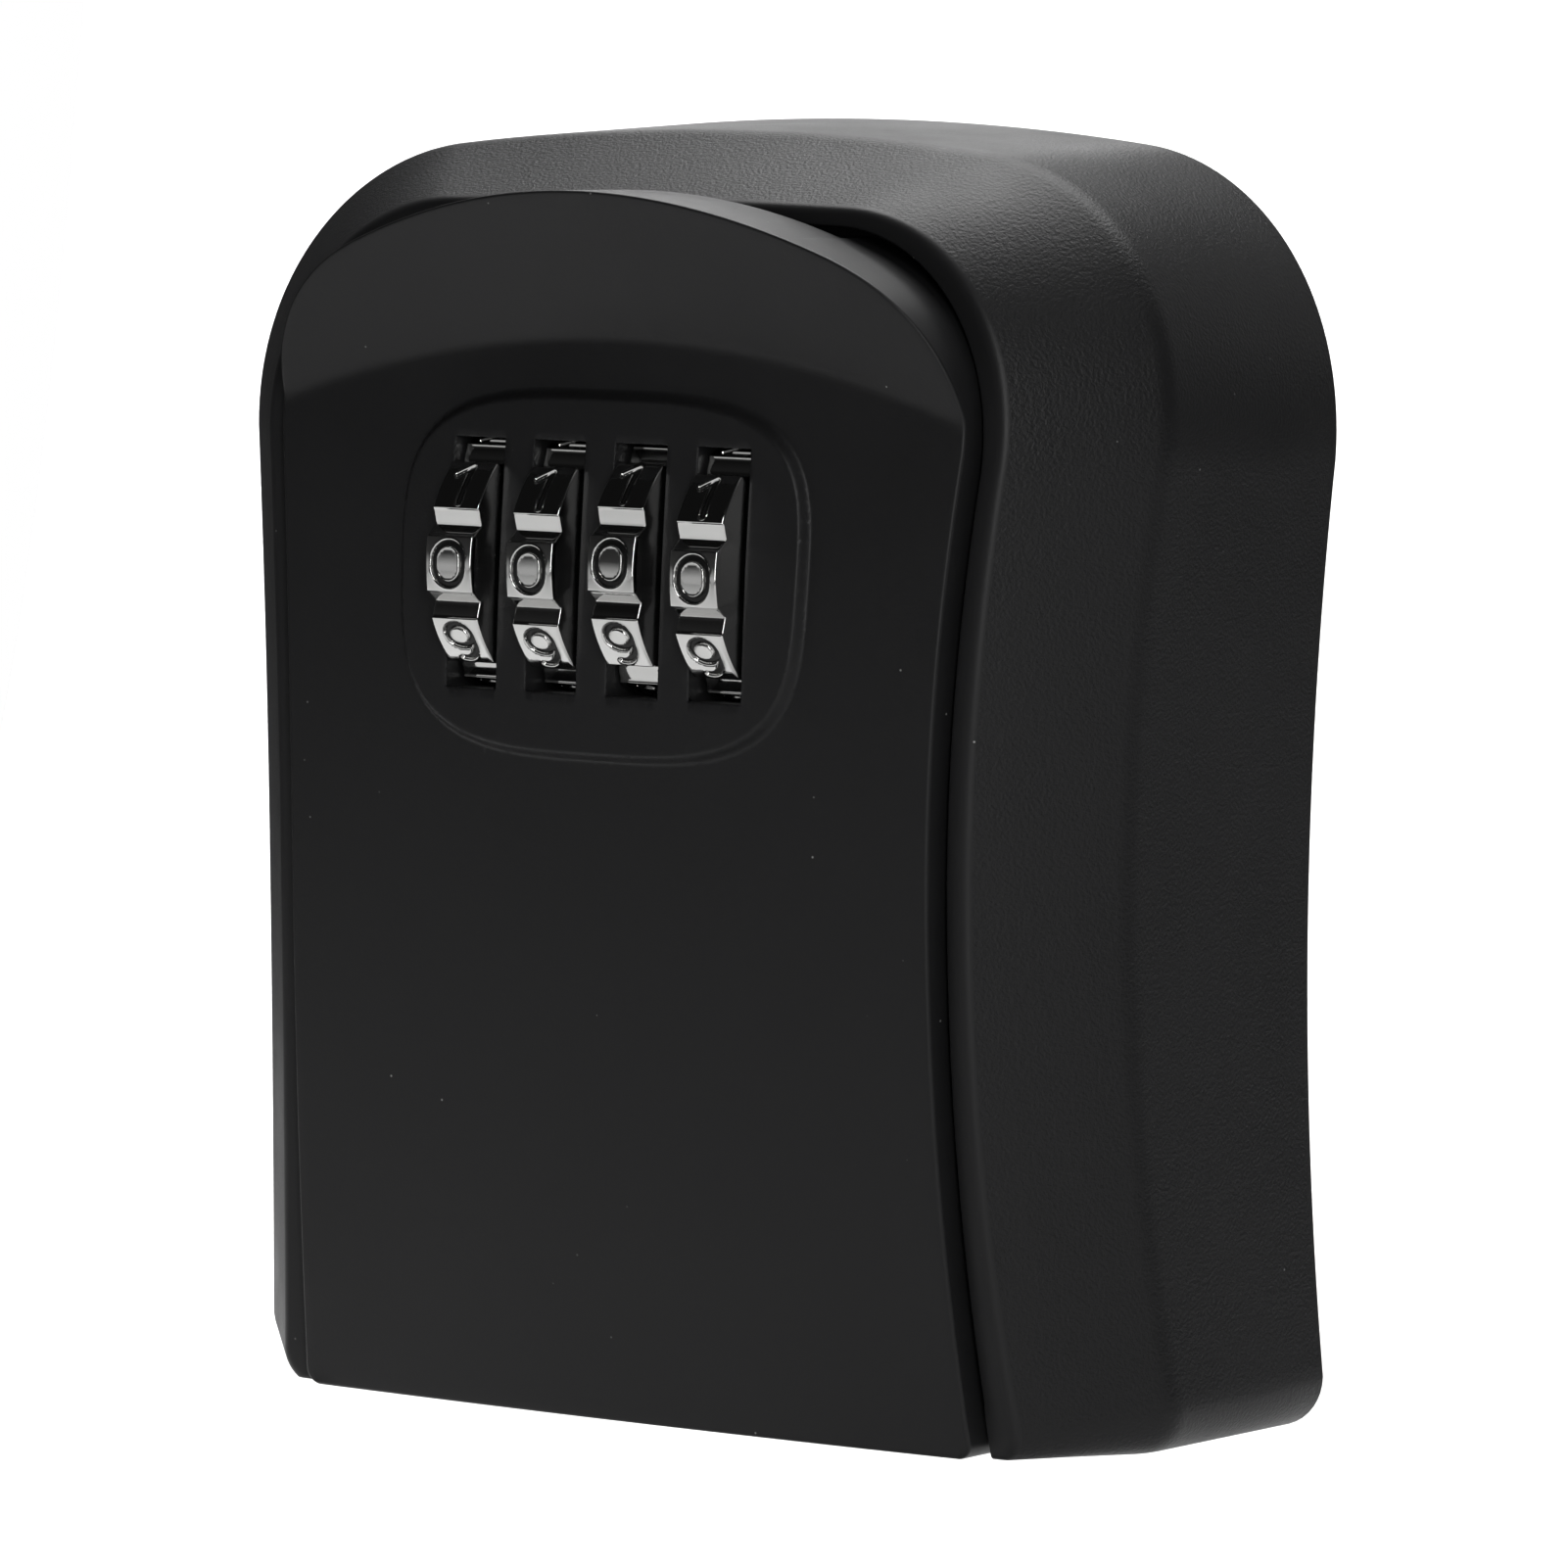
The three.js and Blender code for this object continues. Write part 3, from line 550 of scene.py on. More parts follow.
def moulded(name, base, roughness, grain_mm, grain_depth, dust=0.0, specular=0.5):
    """Moulded plastic: spark-eroded grain in mm, slight unevenness, and specks of dust."""
    shader = Shader(name, base, roughness, specular=specular)
    uneven = shader.noise(55, 4)
    shader.link(shader.spread(uneven, roughness - 0.05, roughness + 0.05), shader.bsdf.inputs["Roughness"])
    shade = shader.mix(uneven, tuple(0.85 * c for c in base), tuple(1.15 * c for c in base))
    if dust:
        cells = shader.node("ShaderNodeTexVoronoi")
        cells.inputs["Scale"].default_value = DUST_CELLS
        shader.link(shader.coordinates, cells.inputs["Vector"])
        speck = shader.spread(cells.outputs["Distance"], 1, 0, 0.015, 0.045)
        parted = shader.node("ShaderNodeSeparateColor")
        shader.link(cells.outputs["Color"], parted.inputs[0])
        chosen = shader.spread(parted.outputs[0], 0, dust, 0.7, 0.95)
        both = shader.node("ShaderNodeMath", operation="MULTIPLY")
        shader.link(speck, both.inputs[0])
        shader.link(chosen, both.inputs[1])
        shade = shader.mix(both.outputs[0], shade, DUST_COLOUR)
    shader.link(shade, shader.bsdf.inputs["Base Color"])
    shader.bump(shader.noise(1 / (grain_mm * MM), 2), grain_depth * MM)
    return shader.material


def metal(name, base, roughness, brushed=None):
    """Metal. brushed is the marks' scale along each axis: they are long where it is low."""
    shader = Shader(name, base, roughness, metallic=1.0)
    if brushed is None:
        marks = shader.noise(900, 3)
    else:
        marks = shader.noise(1, 3, vector=shader.stretched(brushed))
    shader.link(shader.spread(marks, roughness * 0.75, roughness * 1.3), shader.bsdf.inputs["Roughness"])
    smear = shader.noise(130, 3)
    shade = shader.mix(smear, tuple(0.92 * c for c in base), tuple(1.05 * c for c in base))
    shader.link(shade, shader.bsdf.inputs["Base Color"])
    shader.bump(marks, (0.0006 if brushed else 0.004) * MM)
    return shader.material


BLACK = moulded("black_plastic", (0.011, 0.011, 0.0115), 0.42, 0.28, 0.012, dust=0.9, specular=0.22)
BLACK_GRAINED = moulded(
    "black_plastic_grained", (0.0105, 0.0105, 0.011), 0.45, 0.34, 0.07, dust=0.4, specular=0.2,
)
DARK = moulded("inner_plastic", (0.028, 0.028, 0.03), 0.52, 0.35, 0.02)
RED = moulded("red_plastic", (0.42, 0.05, 0.03), 0.4, 0.4, 0.01)
CHROME = metal("chrome_plating", (0.62, 0.62, 0.61), 0.075)
# Painted shade: the digits are cut into bare plated metal, and this near-black material stands in for the shade
# inside their grooves
GROOVE_SHADE = moulded("groove_painted_shade", (0.006, 0.006, 0.006), 0.3, 0.1, 0.004, specular=0.25)
STEEL = metal("zinc_plated_steel", (0.56, 0.57, 0.58), 0.32, brushed=(60, 60, 2600))
BRASS = metal("turned_brass", (0.62, 0.45, 0.19), 0.27, brushed=(2600, 60, 60))


def dress(piece, *materials):
    piece.data.materials.clear()
    for material in materials:
        piece.data.materials.append(material)


def hand_over(piece, node, body, slot, *materials):
    """A visual piece takes the place of a CAD node."""
    if materials:
        dress(piece, *materials)
    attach(piece, body)
    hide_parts(node)


# ---- housing ------------------------------------------------------------------------------------

def housing():
    hollow_front, hollow_back = HOLLOW_SETBACK
    hollow_share = (STOP_SETBACK[1] - hollow_front) / (hollow_back - hollow_front)
    crease_inner = ring(half_outline("crease", WALL + 0.4, BOTTOM - 0.4), hollow_back)
    doorway_half = half_outline("doorway", 0, BOTTOM + WALL)
    doorway_ring = ring(doorway_half, STOP_SETBACK[1])
    behind_stop = doorway_ring * (1 - hollow_share) + crease_inner * hollow_share
    behind_stop[:, 1] = doorway_ring[:, 1]
    rim_half = half_outline("rim", -RIM_ROUNDING * 0.7)
    rim_half[:, 1] = np.maximum(rim_half[:, 1], BOTTOM)
    sections = [
        (ring(half_outline("back"), y=0.0), 0.35),
        (ring(half_outline("crease"), CREASE_SETBACK), 1.4),
        (ring(rim_half, RIM_SETBACK), RIM_ROUNDING),
        (ring(doorway_half, RIM_SETBACK + 0.15), 0.3),
        (ring(doorway_half, STOP_SETBACK[0]), 0.0),
        (ring(half_outline("stop"), STOP_SETBACK[0]), 0.25),
        (ring(half_outline("stop"), STOP_SETBACK[1]), 0.25),
        (behind_stop, 0.0),
        (crease_inner, 0.6),
        (ring(half_outline("back", WALL), y=0.0), 0.2),
    ]
    rings = rounded([s[0] for s in sections], [s[1] for s in sections])
    shell = loft("housing_cover", rings, ends=False)

    foot = half_outline("doorway", 0, BOTTOM - 4)
    notch = loft("foot", [ring(foot, y=FOOT_BACK), ring(foot, y=-60.0)])
    combine(notch, "INTERSECT", block("low", SIDEWAYS, (-61, 0), (BOTTOM - 5, BOTTOM + 10)))
    plate_lines = [centre_line(f"plate_screw_{i}", "y") for i in range(1, 5)]
    strike_lines = [centre_line(f"strike_screw_{side}", "z") for side in ("left", "right")]
    bosses = [cylinder("boss", "y", centre, (-14, -2.8), PLATE_BOSS_R, 48) for centre in plate_lines]
    bosses += [cylinder("post", "z", centre, (51.8, 59.4), STRIKE_POST_R, 48) for centre in strike_lines]
    combine(shell, "UNION", *bosses)
    tools = [notch]
    for side in (-1, 1):
        span = sorted((side * 30, side * 41.6))
        tools.append(cylinder("pin_hole", "x", (HINGE_Y, HINGE_Z), span, PIN_HOLE_R, 32))
    tools += [cylinder("screw_hole", "y", centre, (-12.5, 1), PILOT_R, 24) for centre in plate_lines]
    tools += [cylinder("screw_hole", "z", centre, (45, 57), PILOT_R, 24) for centre in strike_lines]
    combine(shell, "DIFFERENCE", *tools)
    dress(shell, BLACK, BLACK_GRAINED)
    paint_walls(shell)
    hand_over(shell, "housing_shell", "housing", "black_plastic")


def paint_walls(shell):
    """Behind its rim the housing is moulded with a leathery grain."""
    for face in shell.data.polygons:
        centre = np.array(face.center) / MM
        face.material_index = 1 if centre[1] > edge_y(centre[2]) + RIM_SETBACK + 1 else 0


# ---- door ---------------------------------------------------------------------------------------

def door():
    half = half_outline("door")
    shell = relief_block(
        "door_cover", half, door_front, lambda z: edge_y(z) + SKIRT_SETBACK, EDGE_R,
        (pad_rings(), crease_lines(), slot_lines()), spacing=0.9,
    )
    inner = half_outline("door", SKIRT)
    hollow = relief_block(
        "hollow", inner, lambda x, z: plain_front(x, z) + SKIN, lambda z: np.full_like(z, 5.0), spacing=2.5,
    )
    roof = block("roof", SIDEWAYS, (-62, 10), (BOTTOM + SKIRT, LIP_LEDGE_Z - SKIRT))
    combine(hollow, "INTERSECT", roof)
    ledge = block("ledge", SIDEWAYS, (LIP_LEDGE_Y, 20), (LIP_LEDGE_Z, 70))
    combine(shell, "DIFFERENCE", hollow, ledge)

    ears, holes = [], []
    hinge = (HINGE_Y, HINGE_Z)
    for side in (-1, 1):
        span = sorted(side * x for x in EAR_SPAN)
        ear = cylinder("ear", "x", hinge, span, EAR_R, 48)
        web = block("web", span, (EAR_FRONT, HINGE_Y), (HINGE_Z - EAR_R, HINGE_Z + EAR_R))
        ears.append(combine(ear, "UNION", web))
        holes.append(cylinder("pin_hole", "x", hinge, sorted((side * 30, side * 40)), PIN_HOLE_R, 32))
    for i in range(1, 5):
        centre = centre_line(f"case_screw_{i}", "y")
        start = float(front_y(*centre)) + 0.8
        ears.append(cylinder("boss", "y", centre, (start, CASE_SEAT_Y), CASE_BOSS_R, 40))
        holes.append(cylinder("screw_hole", "y", centre, (-41.2, -30), CASE_PILOT_R, 24))
    combine(shell, "UNION", *ears)

    high = (DIAL_Z - SLOT_HEIGHT / 2, DIAL_Z + SLOT_HEIGHT / 2)
    for x in DIAL_XS:
        wide = (x - SLOT_WIDTH / 2, x + SLOT_WIDTH / 2)
        holes.append(block("slot", wide, (-60, -30), high))
        holes.append(cylinder("relief", "x", (DIAL_Y, DIAL_Z), wide, DIAL_R + 0.6, 96))
    slot_end = DIAL_XS[-1] + SLOT_WIDTH / 2
    holes.append(block("mark", (slot_end - 1, slot_end + 2.7), (-60, -45.3), (DIAL_Z - 0.3, DIAL_Z + 0.3)))
    combine(shell, "DIFFERENCE", *holes)
    hand_over(shell, "door_shell", "door", "black_plastic", BLACK)


# ---- number wheels ------------------------------------------------------------------------------

def arc(cx, cz, rx, rz, start, end, steps=18):
    angle = np.radians(np.linspace(start, end, steps))
    return np.stack([cx + rx * np.cos(angle), cz + rz * np.sin(angle)], 1)


def line(*points):
    return np.array(points, float)


# Strokes of each digit, in millimetres, on a face about 5 mm square: x to the right, second value up.
DIGITS = {
    0: [np.vstack([arc(0, 0.35, 1.6, 1.6, 0, 180), arc(0, -0.35, 1.6, 1.6, 180, 360), line((1.6, 0.35))])],
    1: [line((-1.05, 0.95), (0.2, 1.95), (0.2, -1.95))],
    2: [np.vstack([arc(0, 0.75, 1.35, 1.15, 165, -35), line((-1.4, -1.9)), line((1.4, -1.9))])],
    3: [np.vstack([arc(0, 0.95, 1.25, 0.98, 150, -90), arc(0, -1.0, 1.4, 0.95, 90, -150)])],
    4: [line((0.55, -1.95), (0.55, 1.95), (-1.45, -0.7), (1.45, -0.7))],
    5: [np.vstack([line((1.25, 1.9), (-1.05, 1.9), (-1.25, 0.3)), arc(0, -0.65, 1.4, 1.27, 130, -150)])],
    6: [np.vstack([arc(0.15, 0.0, 1.5, 1.93, 75, 180), arc(0, -0.75, 1.35, 1.18, 180, 540, 36)])],
    7: [line((-1.35, 1.9), (1.35, 1.9), (-0.3, -1.95))],
    8: [arc(0, 0.98, 1.12, 0.96, -90, 270, 32), arc(0, -1.0, 1.35, 1.0, 90, 450, 32)],
    9: [np.vstack([arc(-0.15, 0.0, 1.5, 1.93, 255, 360), arc(0, 0.75, 1.35, 1.18, 0, 360, 36)])],
}
GROOVE_HALF = 0.37  # half the groove's width
GROOVE_DEPTH = 0.32
GROOVE_FLOOR = 0.5  # share of the half width that is flat
GROOVE_SHADED = 0.66  # share of the half width that takes the near-black painted-shade material
GROOVE_BURR = 0.035  # the metal stands up a little along the groove's edge
BURR_CREST, BURR_HALF = 1.14, 0.14  # where the burr lies, in half widths of the groove
GROOVE_LEVELS = (0, 0.3, 0.5, 0.62, 0.74, 0.84, 0.92, 1.0, 1.07, 1.14, 1.21, 1.28)  # lines of the mesh
WHEEL_EDGE = 0.22  # rounding of a wheel's two rims
TOOTH_LIP = 0.12  # a tooth's face falls away over this much of each end
TOOTH_DROP = 0.2  # by this much
DIGIT_ANGLE = math.radians(36)


def stroke_distance(points, digit):
    """How far each point of a dial face lies from the middle of the digit's groove."""
    best = np.full(len(points), 9.0)
    for path in DIGITS[digit]:
        for a, b in zip(path, path[1:]):
            d = b - a
            length = max(float(d @ d), 1e-9)
            t = np.clip((points - a) @ d / length, 0, 1)
            best = np.minimum(best, np.hypot(*(points - a - t[:, None] * d).T))
    return best


def groove_points(digit):
    """Points that follow the groove's floor, sides and edges, so that its outline is clean."""
    stations, normals = [], []
    for path in DIGITS[digit]:
        walked = np.concatenate([[0], np.cumsum(np.hypot(*np.diff(path, axis=0).T))])
        even = np.linspace(0, walked[-1], int(walked[-1] / 0.085) + 2)
        fine = np.stack([np.interp(even, walked, path[:, k]) for k in (0, 1)], 1)
        along = np.gradient(fine, axis=0)
        along /= np.linalg.norm(along, axis=1)[:, None]
        stations.append(fine)
        normals.append(np.stack([-along[:, 1], along[:, 0]], 1))
        fan = np.linspace(0, 2 * math.pi, 29)[:-1]
        for corner in path:
            stations.append(np.repeat([corner], len(fan), 0))
            normals.append(np.stack([np.cos(fan), np.sin(fan)], 1))
    stations, normals = np.vstack(stations), np.vstack(normals)
    kept = []
    for level in GROOVE_LEVELS:
        out = level * GROOVE_HALF
        for sign in (-1, 1):
            placed = stations + sign * out * normals
            kept.append(placed[np.abs(stroke_distance(placed, digit) - out) < 0.004])
    kept = np.vstack(kept)
    _, first = np.unique(np.round(kept / 0.028), axis=0, return_index=True)
    return kept[np.sort(first)]


def digit_face(digit, columns, rows):
    """One face of a wheel laid flat: its points, its triangles, and the point at each border place."""
    low_row = [(u, rows[0]) for u in columns]
    right = [(columns[-1], v) for v in rows[1:-1]]
    high_row = [(u, rows[-1]) for u in columns]
    left = [(columns[0], v) for v in rows[1:-1]]
    border = np.array(low_row + right + high_row + left)
    nc, nr = len(columns), len(rows) - 2
    loop = [*range(nc), *range(nc, nc + nr), *reversed(range(nc + nr, 2 * nc + nr))]
    loop += reversed(range(2 * nc + nr, 2 * nc + 2 * nr))
    grid = np.stack(np.meshgrid(columns[1:-1], rows[1:-1]), -1).reshape(-1, 2)
    grid = grid[stroke_distance(grid, digit) > GROOVE_LEVELS[-1] * GROOVE_HALF + 0.06]
    flat = np.vstack([border, grid, groove_points(digit)])
    made = delaunay_2d_cdt([Vector(p) for p in flat], [], [loop], 1, 1e-5)
    used = {o: i for i, group in enumerate(made[3]) for o in group}
    edges = [used[i] for i in range(len(border))]
    low_row, right = edges[:nc], edges[nc:nc + nr]
    high_row, left = edges[nc + nr:2 * nc + nr], edges[2 * nc + nr:]
    return np.array([tuple(p) for p in made[0]]), [tuple(f) for f in made[2]], low_row, right, high_row, left


def wheel_mesh():
    """One wheel, centred on its axis: ten toothed faces with a digit cut in each, notches and a bore."""
    half_width, half_face = DIAL_WIDTH / 2, TOOTH_HALF * DIAL_R
    near = WHEEL_EDGE * np.array([0.0, 0.08, 0.3, 0.6, 1.0])
    columns = np.concatenate([
        -half_width + near, np.linspace(-half_width, half_width, 27)[2:-2], half_width - near[::-1],
    ])
    near = TOOTH_LIP * np.array([0.0, 0.25, 0.5, 0.75, 1.0])
    rows = np.concatenate([
        -half_face + near, np.linspace(-half_face, half_face, 27)[1:-1], half_face - near[::-1],
    ])

    def fall(u):
        share = np.clip(1 - (half_width - np.abs(u)) / WHEEL_EDGE, 0, 1)
        return WHEEL_EDGE * (1 - np.sqrt(1 - share ** 2))

    vertices, faces, dark = [], [], []
    rims, starts, ends = [], [], []  # rims: angle, left point and right point, round the wheel

    def wrap(u, angle, radius):
        first = sum(len(v) for v in vertices)
        vertices.append(np.stack([u, -radius * np.cos(angle), radius * np.sin(angle)], 1))
        return first

    for digit in range(10):
        flat, triangles, low_row, right, high_row, left = digit_face(digit, columns, rows)
        distance = stroke_distance(flat, digit) / GROOVE_HALF
        share = np.clip((1 - distance) / (1 - GROOVE_FLOOR), 0, 1)
        lip = np.clip(1 - (half_face - np.abs(flat[:, 1])) / TOOTH_LIP, 0, 1)
        radius = DIAL_R - fall(flat[:, 0]) - GROOVE_DEPTH * share ** 2 * (3 - 2 * share)
        radius -= TOOTH_DROP * lip ** 2
        burr = np.clip(1 - np.abs(distance - BURR_CREST) / BURR_HALF, 0, 1)
        radius += GROOVE_BURR * burr ** 2 * (3 - 2 * burr)
        middle = digit * DIGIT_ANGLE
        first = wrap(flat[:, 0], middle + flat[:, 1] / DIAL_R, radius)
        faces += [tuple(first + i for i in t) for t in triangles]
        # faces near a groove's middle take the near-black painted-shade material
        dark += [float(np.mean(distance[list(t)])) < GROOVE_SHADED for t in triangles]
        sides = [(low_row[0], low_row[-1]), *zip(left, right), (high_row[0], high_row[-1])]
        rims += [(middle + v / DIAL_R, first + a, first + b) for v, (a, b) in zip(rows, sides)]
        starts.append([first + i for i in low_row])
        ends.append([first + i for i in high_row])
    half_gap = DIGIT_ANGLE / 2 - TOOTH_HALF
    for digit in range(10):
        before = ends[digit]
        for t in np.linspace(0, 1, 19)[1:-1]:
            away = math.sqrt((2 * t - 1) ** 2 + 0.004) * 0.998
            angle = digit * DIGIT_ANGLE + TOOTH_HALF + 2 * half_gap * t
            radius = NOTCH_R + (DIAL_R - TOOTH_DROP - NOTCH_R) * away - fall(columns)
            first = wrap(columns, np.full(len(columns), angle), radius)
            row = list(range(first, first + len(columns)))
            faces += [(before[k], before[k + 1], row[k + 1], row[k]) for k in range(len(row) - 1)]
            rims.append((angle, row[0], row[-1]))
            before = row
        after = starts[(digit + 1) % 10]
        faces += [(before[k], before[k + 1], after[k + 1], after[k]) for k in range(len(after) - 1)]
    rims.sort()
    angles = np.array([r[0] for r in rims])
    bore_left = wrap(np.full(len(rims), -half_width), angles, np.full(len(rims), DIAL_BORE))
    bore_right = wrap(np.full(len(rims), half_width), angles, np.full(len(rims), DIAL_BORE))
    for i, (_, left, right) in enumerate(rims):
        j = (i + 1) % len(rims)
        faces.append((left, rims[j][1], bore_left + j, bore_left + i))
        faces.append((right, bore_right + i, bore_right + j, rims[j][2]))
        faces.append((bore_left + i, bore_left + j, bore_right + j, bore_right + i))
    wheel = mesh_object("wheel", np.vstack(vertices), faces, sharp=38)
    marks = dark + [False] * (len(wheel.data.polygons) - len(dark))
    dress(wheel, CHROME, GROOVE_SHADE)
    wheel.data.polygons.foreach_set("material_index", [int(m) for m in marks])
    outward(wheel)
    smooth(wheel, 38)
    mesh = wheel.data
    bpy.data.objects.remove(wheel)
    return mesh


def number_wheels():
    mesh = wheel_mesh()
    tilts = (0.0, -0.8, 4.0, -0.8)  # how far each dial stands off its click, in degrees
    for i, (node, x, tilt) in enumerate(zip(WHEELS, DIAL_XS, tilts), 1):
        wheel = bpy.data.objects.new(f"dial_face_{i}", mesh)
        bpy.context.scene.collection.objects.link(wheel)
        wheel.location = Vector((x, DIAL_Y, DIAL_Z)) * MM
        wheel.rotation_euler = (-math.radians(tilt), 0, 0)
        hand_over(wheel, node, f"dial_{i}", "chrome_dial")


# ---- fasteners, springs and the other CAD pieces ------------------------------------------------

THREAD_PITCH = 0.8
HEAD_THICKNESS = 1.5


def screw(name, node, body, axis, head, tip, head_r, shank_r, domed):
    """A cross-head screw. head and tip are places along the axis; a domed head stands on its seat."""
    centre = centre_line(node, axis)
    away = 1 if head > tip else -1
    profile = [(tip, shank_r * 0.3), (tip + away * THREAD_PITCH, shank_r)]
    turns = int(abs(head - tip - away * HEAD_THICKNESS) / THREAD_PITCH)
    for k in range(2, max(turns, 3)):
        along = tip + away * THREAD_PITCH * k
        profile += [(along - away * THREAD_PITCH / 2, shank_r * 0.8), (along, shank_r)]
    seat = head - away * HEAD_THICKNESS
    profile.append((seat, shank_r))
    if domed:
        rim = 0.5
        profile += [(seat, head_r), (seat + away * rim, head_r)]
        for t in np.linspace(0.25, 1, 6):
            rise = (HEAD_THICKNESS - rim) * math.sin(t * math.pi / 2)
            profile.append((seat + away * (rim + rise), max(head_r * math.cos(t * math.pi / 2), 0.4)))
    else:
        profile += [(head - away * 0.15, head_r), (head, head_r - 0.08)]
    body_piece = turned(name, axis, centre, profile, 40)
    half, long = 0.28, head_r * 0.62
    depth = sorted((head + away, head - away * 0.9))
    for a, b in ((half, long), (long, half)):
        if axis == "y":
            slot = block("drive", (centre[0] - a, centre[0] + a), depth, (centre[1] - b, centre[1] + b))
        else:
            slot = block("drive", (centre[0] - a, centre[0] + a), (centre[1] - b, centre[1] + b), depth)
        combine(body_piece, "DIFFERENCE", slot)
    hand_over(body_piece, node, body, "steel", STEEL)


def screws():
    for i in range(1, 5):
        screw(f"plate_screw_head_{i}", f"plate_screw_{i}", "housing", "y", -0.1, -11.5, 2.55, 1.15, False)
        screw(f"case_screw_head_{i}", f"case_screw_{i}", "door", "y", -34.7, -40.8, 2.4, 1.1, True)
    for side in ("left", "right"):
        node = f"strike_screw_{side}"
        low, high = box_mm(node)
        screw(f"strike_screw_head_{side}", node, "housing", "z", low[2], high[2], 2.5, 1.15, True)


def springs():
    for side in ("left", "right"):
        node = f"latch_spring_{side}"
        low, high = box_mm(node)
        centre, wire = (low + high) / 2, 0.24
        radius = (high[0] - low[0]) / 2 - wire
        turns, steps, around = 5, 150, 10
        loop = np.linspace(0, 2 * math.pi, around + 1)[:-1, None]
        rings = []
        for t in np.linspace(0, 1, steps):
            angle = 2 * math.pi * turns * t
            out = np.array([math.cos(angle), math.sin(angle), 0])
            z = low[2] + wire + (high[2] - low[2] - 2 * wire) * t
            place = np.array([centre[0], centre[1], z]) + radius * out
            rings.append(place + wire * (np.cos(loop) * out + np.sin(loop) * np.array([0, 0, 1.0])))
        hand_over(loft(f"coil_{side}", rings), node, "door", "steel", STEEL)


def cad_finishes():
    """Puts the finishes on the CAD nodes that stay in view."""
    finish = {
        "steel": STEEL, "brass": BRASS, "inner_plastic": DARK,
        "red_plastic": RED, "black_plastic": BLACK, "chrome_dial": CHROME,
    }
    for part in frame["record"]["subparts"]:
        node = frame["nodes"][part["node"]]
        if node.hide_render:
            continue
        for slot in node.material_slots:
            slot.material = finish[part["material_slot"]]


# ---- stage --------------------------------------------------------------------------------------

VIEW_AZIMUTH = math.radians(34.032)  # the camera stands this far round to the right


def seen_from(across, ahead, up):
    """A place counted from the object as the camera sees it: to the right, away, and up, in any one unit."""
    c, s = math.cos(VIEW_AZIMUTH), math.sin(VIEW_AZIMUTH)
    return across * c - ahead * s, across * s + ahead * c, up


def stage():
    """A paper sweep behind the box, low enough for the open door to swing clear of it."""
    floor_z = BOTTOM - 55
    front, back, rise, bend = -1400.0, 900.0, 1500.0, 500.0
    # Each entry is how far away, how high, and half as wide as the paper is there.
    profile = [(front, floor_z, 1100.0), (-300.0, floor_z, 900.0), (300.0, floor_z, 330.0)]
    for angle in np.radians(np.linspace(-90, 0, 25)):
        profile.append((back + bend * math.cos(angle), floor_z + bend + bend * math.sin(angle), 175.0))
    profile.append((back + bend, floor_z + rise, 175.0))
    points = []
    for along, z, half_width in profile:
        for side in (-1, 1):
            points.append(seen_from(side * half_width, along, z))
    faces = [(2 * i, 2 * i + 1, 2 * i + 3, 2 * i + 2) for i in range(len(profile) - 1)]
    floor = mesh_object("floor", points, faces, 60)
    shader = Shader("pale_floor", (0.72, 0.72, 0.72), 0.9, specular=0.1)
    shade = shader.mix(shader.noise(3, 2), (0.71, 0.71, 0.71), (0.73, 0.73, 0.73))
    shader.link(shade, shader.bsdf.inputs["Base Color"])
    dress(floor, shader.material)


def area_light(name, place, target, size, power):
    data = bpy.data.lights.new(name, "AREA")
    data.shape = "RECTANGLE"
    data.size, data.size_y = size
    data.energy = power
    light = bpy.data.objects.new(name, data)
    bpy.context.scene.collection.objects.link(light)
    light.location = place
    light.rotation_euler = (Vector(target) - Vector(place)).to_track_quat("-Z", "Y").to_euler()


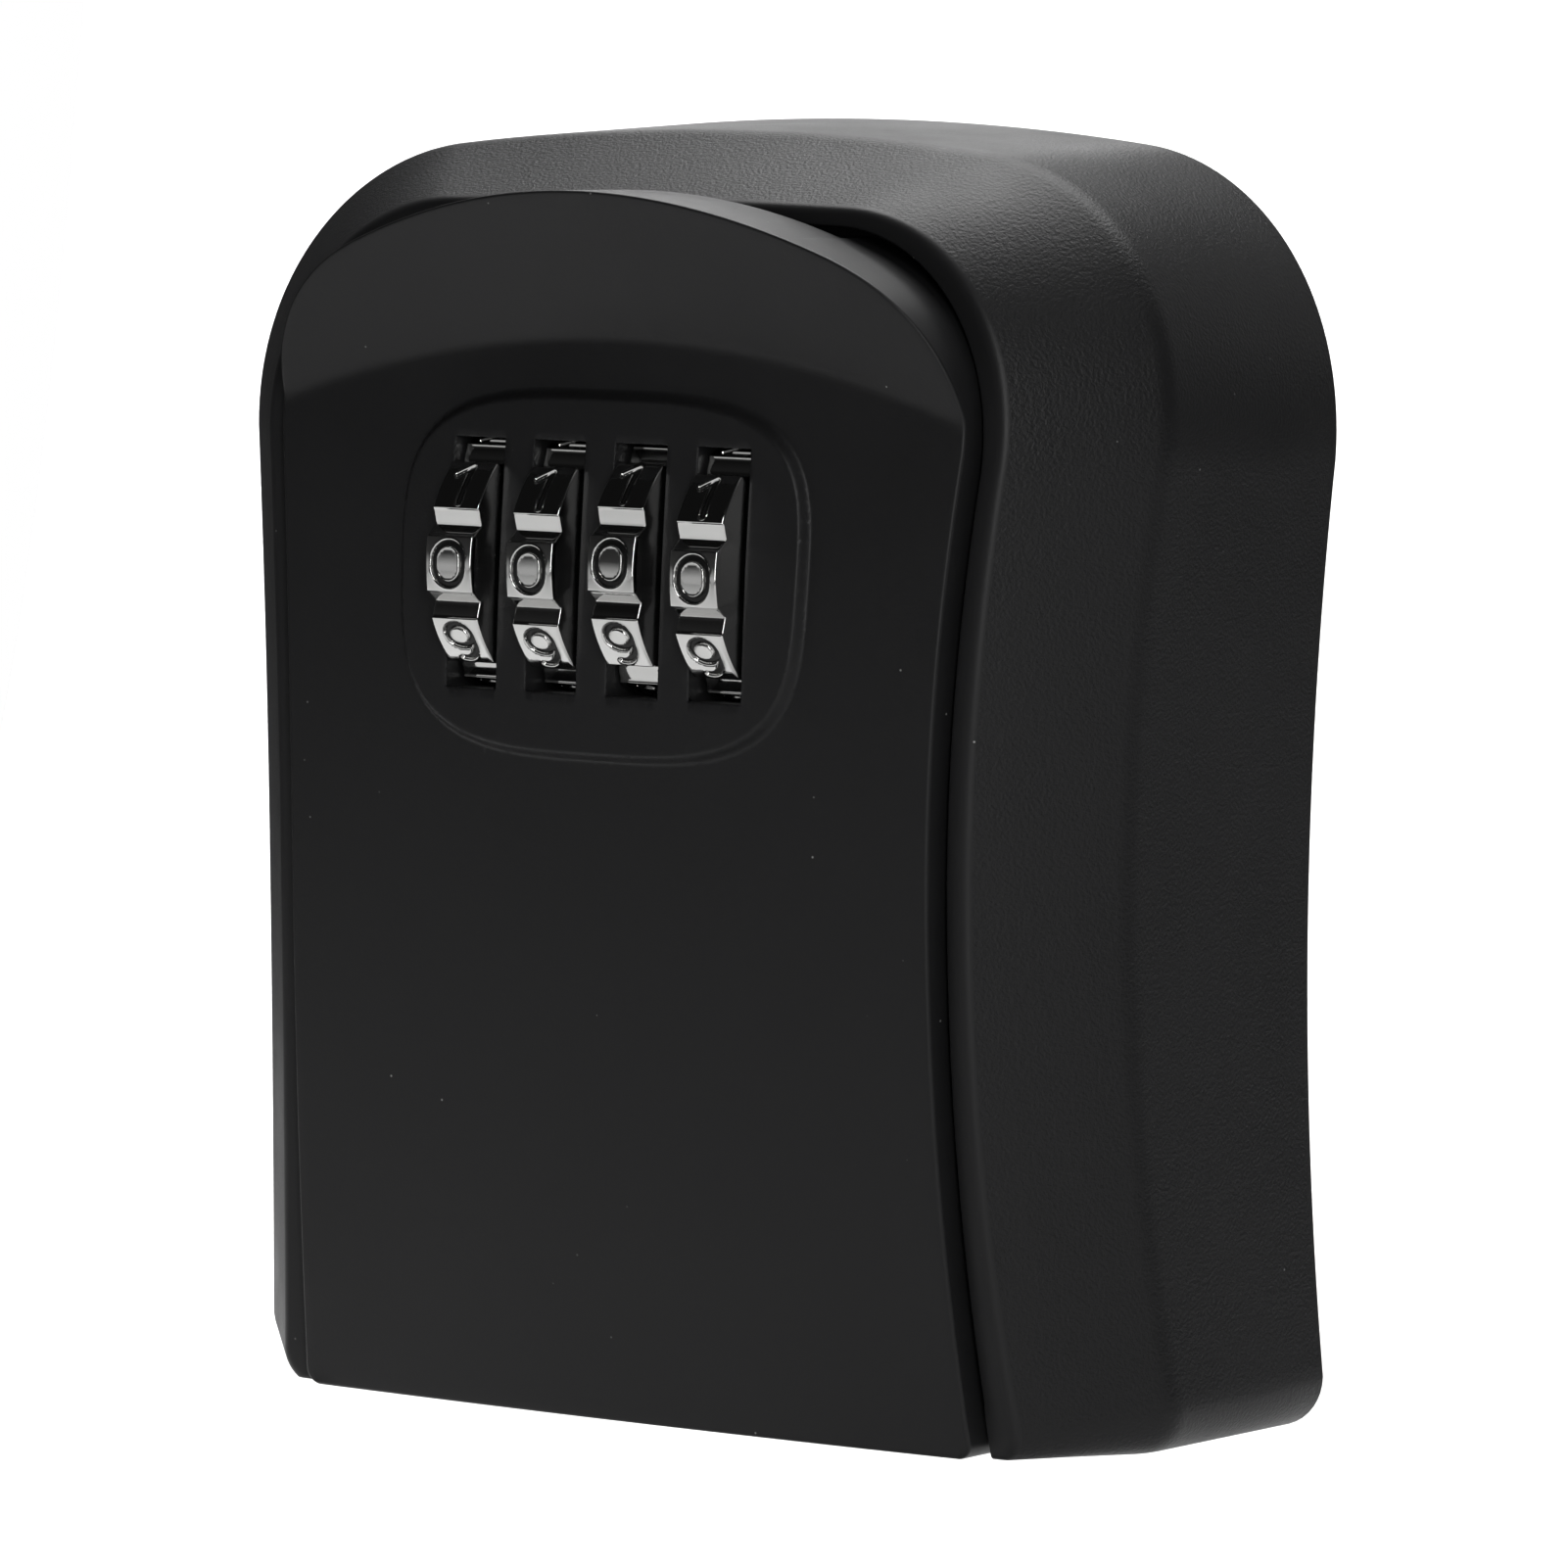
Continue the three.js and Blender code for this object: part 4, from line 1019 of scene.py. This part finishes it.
def lights():
    """Soft light from above, a strip beside the camera, and dark surroundings that the plating mirrors."""
    world = bpy.data.worlds.new("studio")
    bpy.context.scene.world = world
    world.use_nodes = True
    nodes, links = world.node_tree.nodes, world.node_tree.links
    direction = nodes.new("ShaderNodeTexCoord")
    parted = nodes.new("ShaderNodeSeparateXYZ")

    def ramp(source, start, end, low, high):
        made = nodes.new("ShaderNodeMapRange")
        for socket, value in (("From Min", start), ("From Max", end), ("To Min", low), ("To Max", high)):
            made.inputs[socket].default_value = value
        links.new(source, made.inputs["Value"])
        return made.outputs["Result"]

    def maths(operation, first, second):
        made = nodes.new("ShaderNodeMath")
        made.operation = operation
        links.new(first, made.inputs[0])
        links.new(second, made.inputs[1])
        return made.outputs[0]

    links.new(direction.outputs["Generated"], parted.inputs[0])
    room = ramp(parted.outputs["Z"], 0.0, 0.5, 0.05, 0.007)
    glow = ramp(parted.outputs["Z"], -0.07, 0.07, 0.5, 0.0)  # the room's floor goes on in front
    ahead = ramp(parted.outputs["Y"], -0.85, -0.4, 1.0, 0.0)
    room = maths("ADD", room, maths("MULTIPLY", glow, ahead))
    path = nodes.new("ShaderNodeLightPath")
    room = maths("MAXIMUM", room, path.outputs["Is Camera Ray"])  # plain white behind everything
    nodes["Background"].inputs["Color"].default_value = (1, 1, 1, 1)
    links.new(room, nodes["Background"].inputs["Strength"])
    area_light("overhead", seen_from(0.15, 0.75, 1.5), seen_from(0.15, 0.75, 0), (1.4, 1.4), 40)
    area_light("backdrop_light", seen_from(0, 0.3, 1.1), seen_from(0, 1.4, 0.6), (0.8, 0.5), 24)
    area_light("side_fill", seen_from(1.1, 0.7, 0.6), seen_from(0, 0, 0), (0.8, 0.8), 0.8)
    area_light("strip", (0.6, -0.7, 0.3), (0, -0.04, 0), (0.1, 0.75), 3.6)


def camera():
    """Placed as the box was seen: from its right and a little above, with a long lens."""
    azimuth, elevation, roll = VIEW_AZIMUTH, math.radians(4.617), math.radians(0.891)
    right = np.array([math.cos(azimuth), math.sin(azimuth), 0])
    level = math.cos(elevation)
    ahead = np.array([-math.sin(azimuth) * level, math.cos(azimuth) * level, -math.sin(elevation)])
    up = np.cross(right, ahead)
    side = right * math.cos(roll) + up * math.sin(roll)
    top = up * math.cos(roll) - right * math.sin(roll)
    data = bpy.data.cameras.new("camera")
    data.sensor_width = 36
    data.lens = 211.35
    data.clip_start, data.clip_end = 0.05, 30
    made = bpy.data.objects.new("camera", data)
    bpy.context.scene.collection.objects.link(made)
    rotation = Matrix(np.stack([side, top, -ahead], 1).tolist())
    made.matrix_world = Matrix.Translation((0.48669, -0.73425, 0.06839)) @ rotation.to_4x4()
    bpy.context.scene.camera = made


camera()
lights()
stage()
housing()
door()
number_wheels()
screws()
springs()
cad_finishes()
bpy.context.scene.view_settings.view_transform = "Standard"
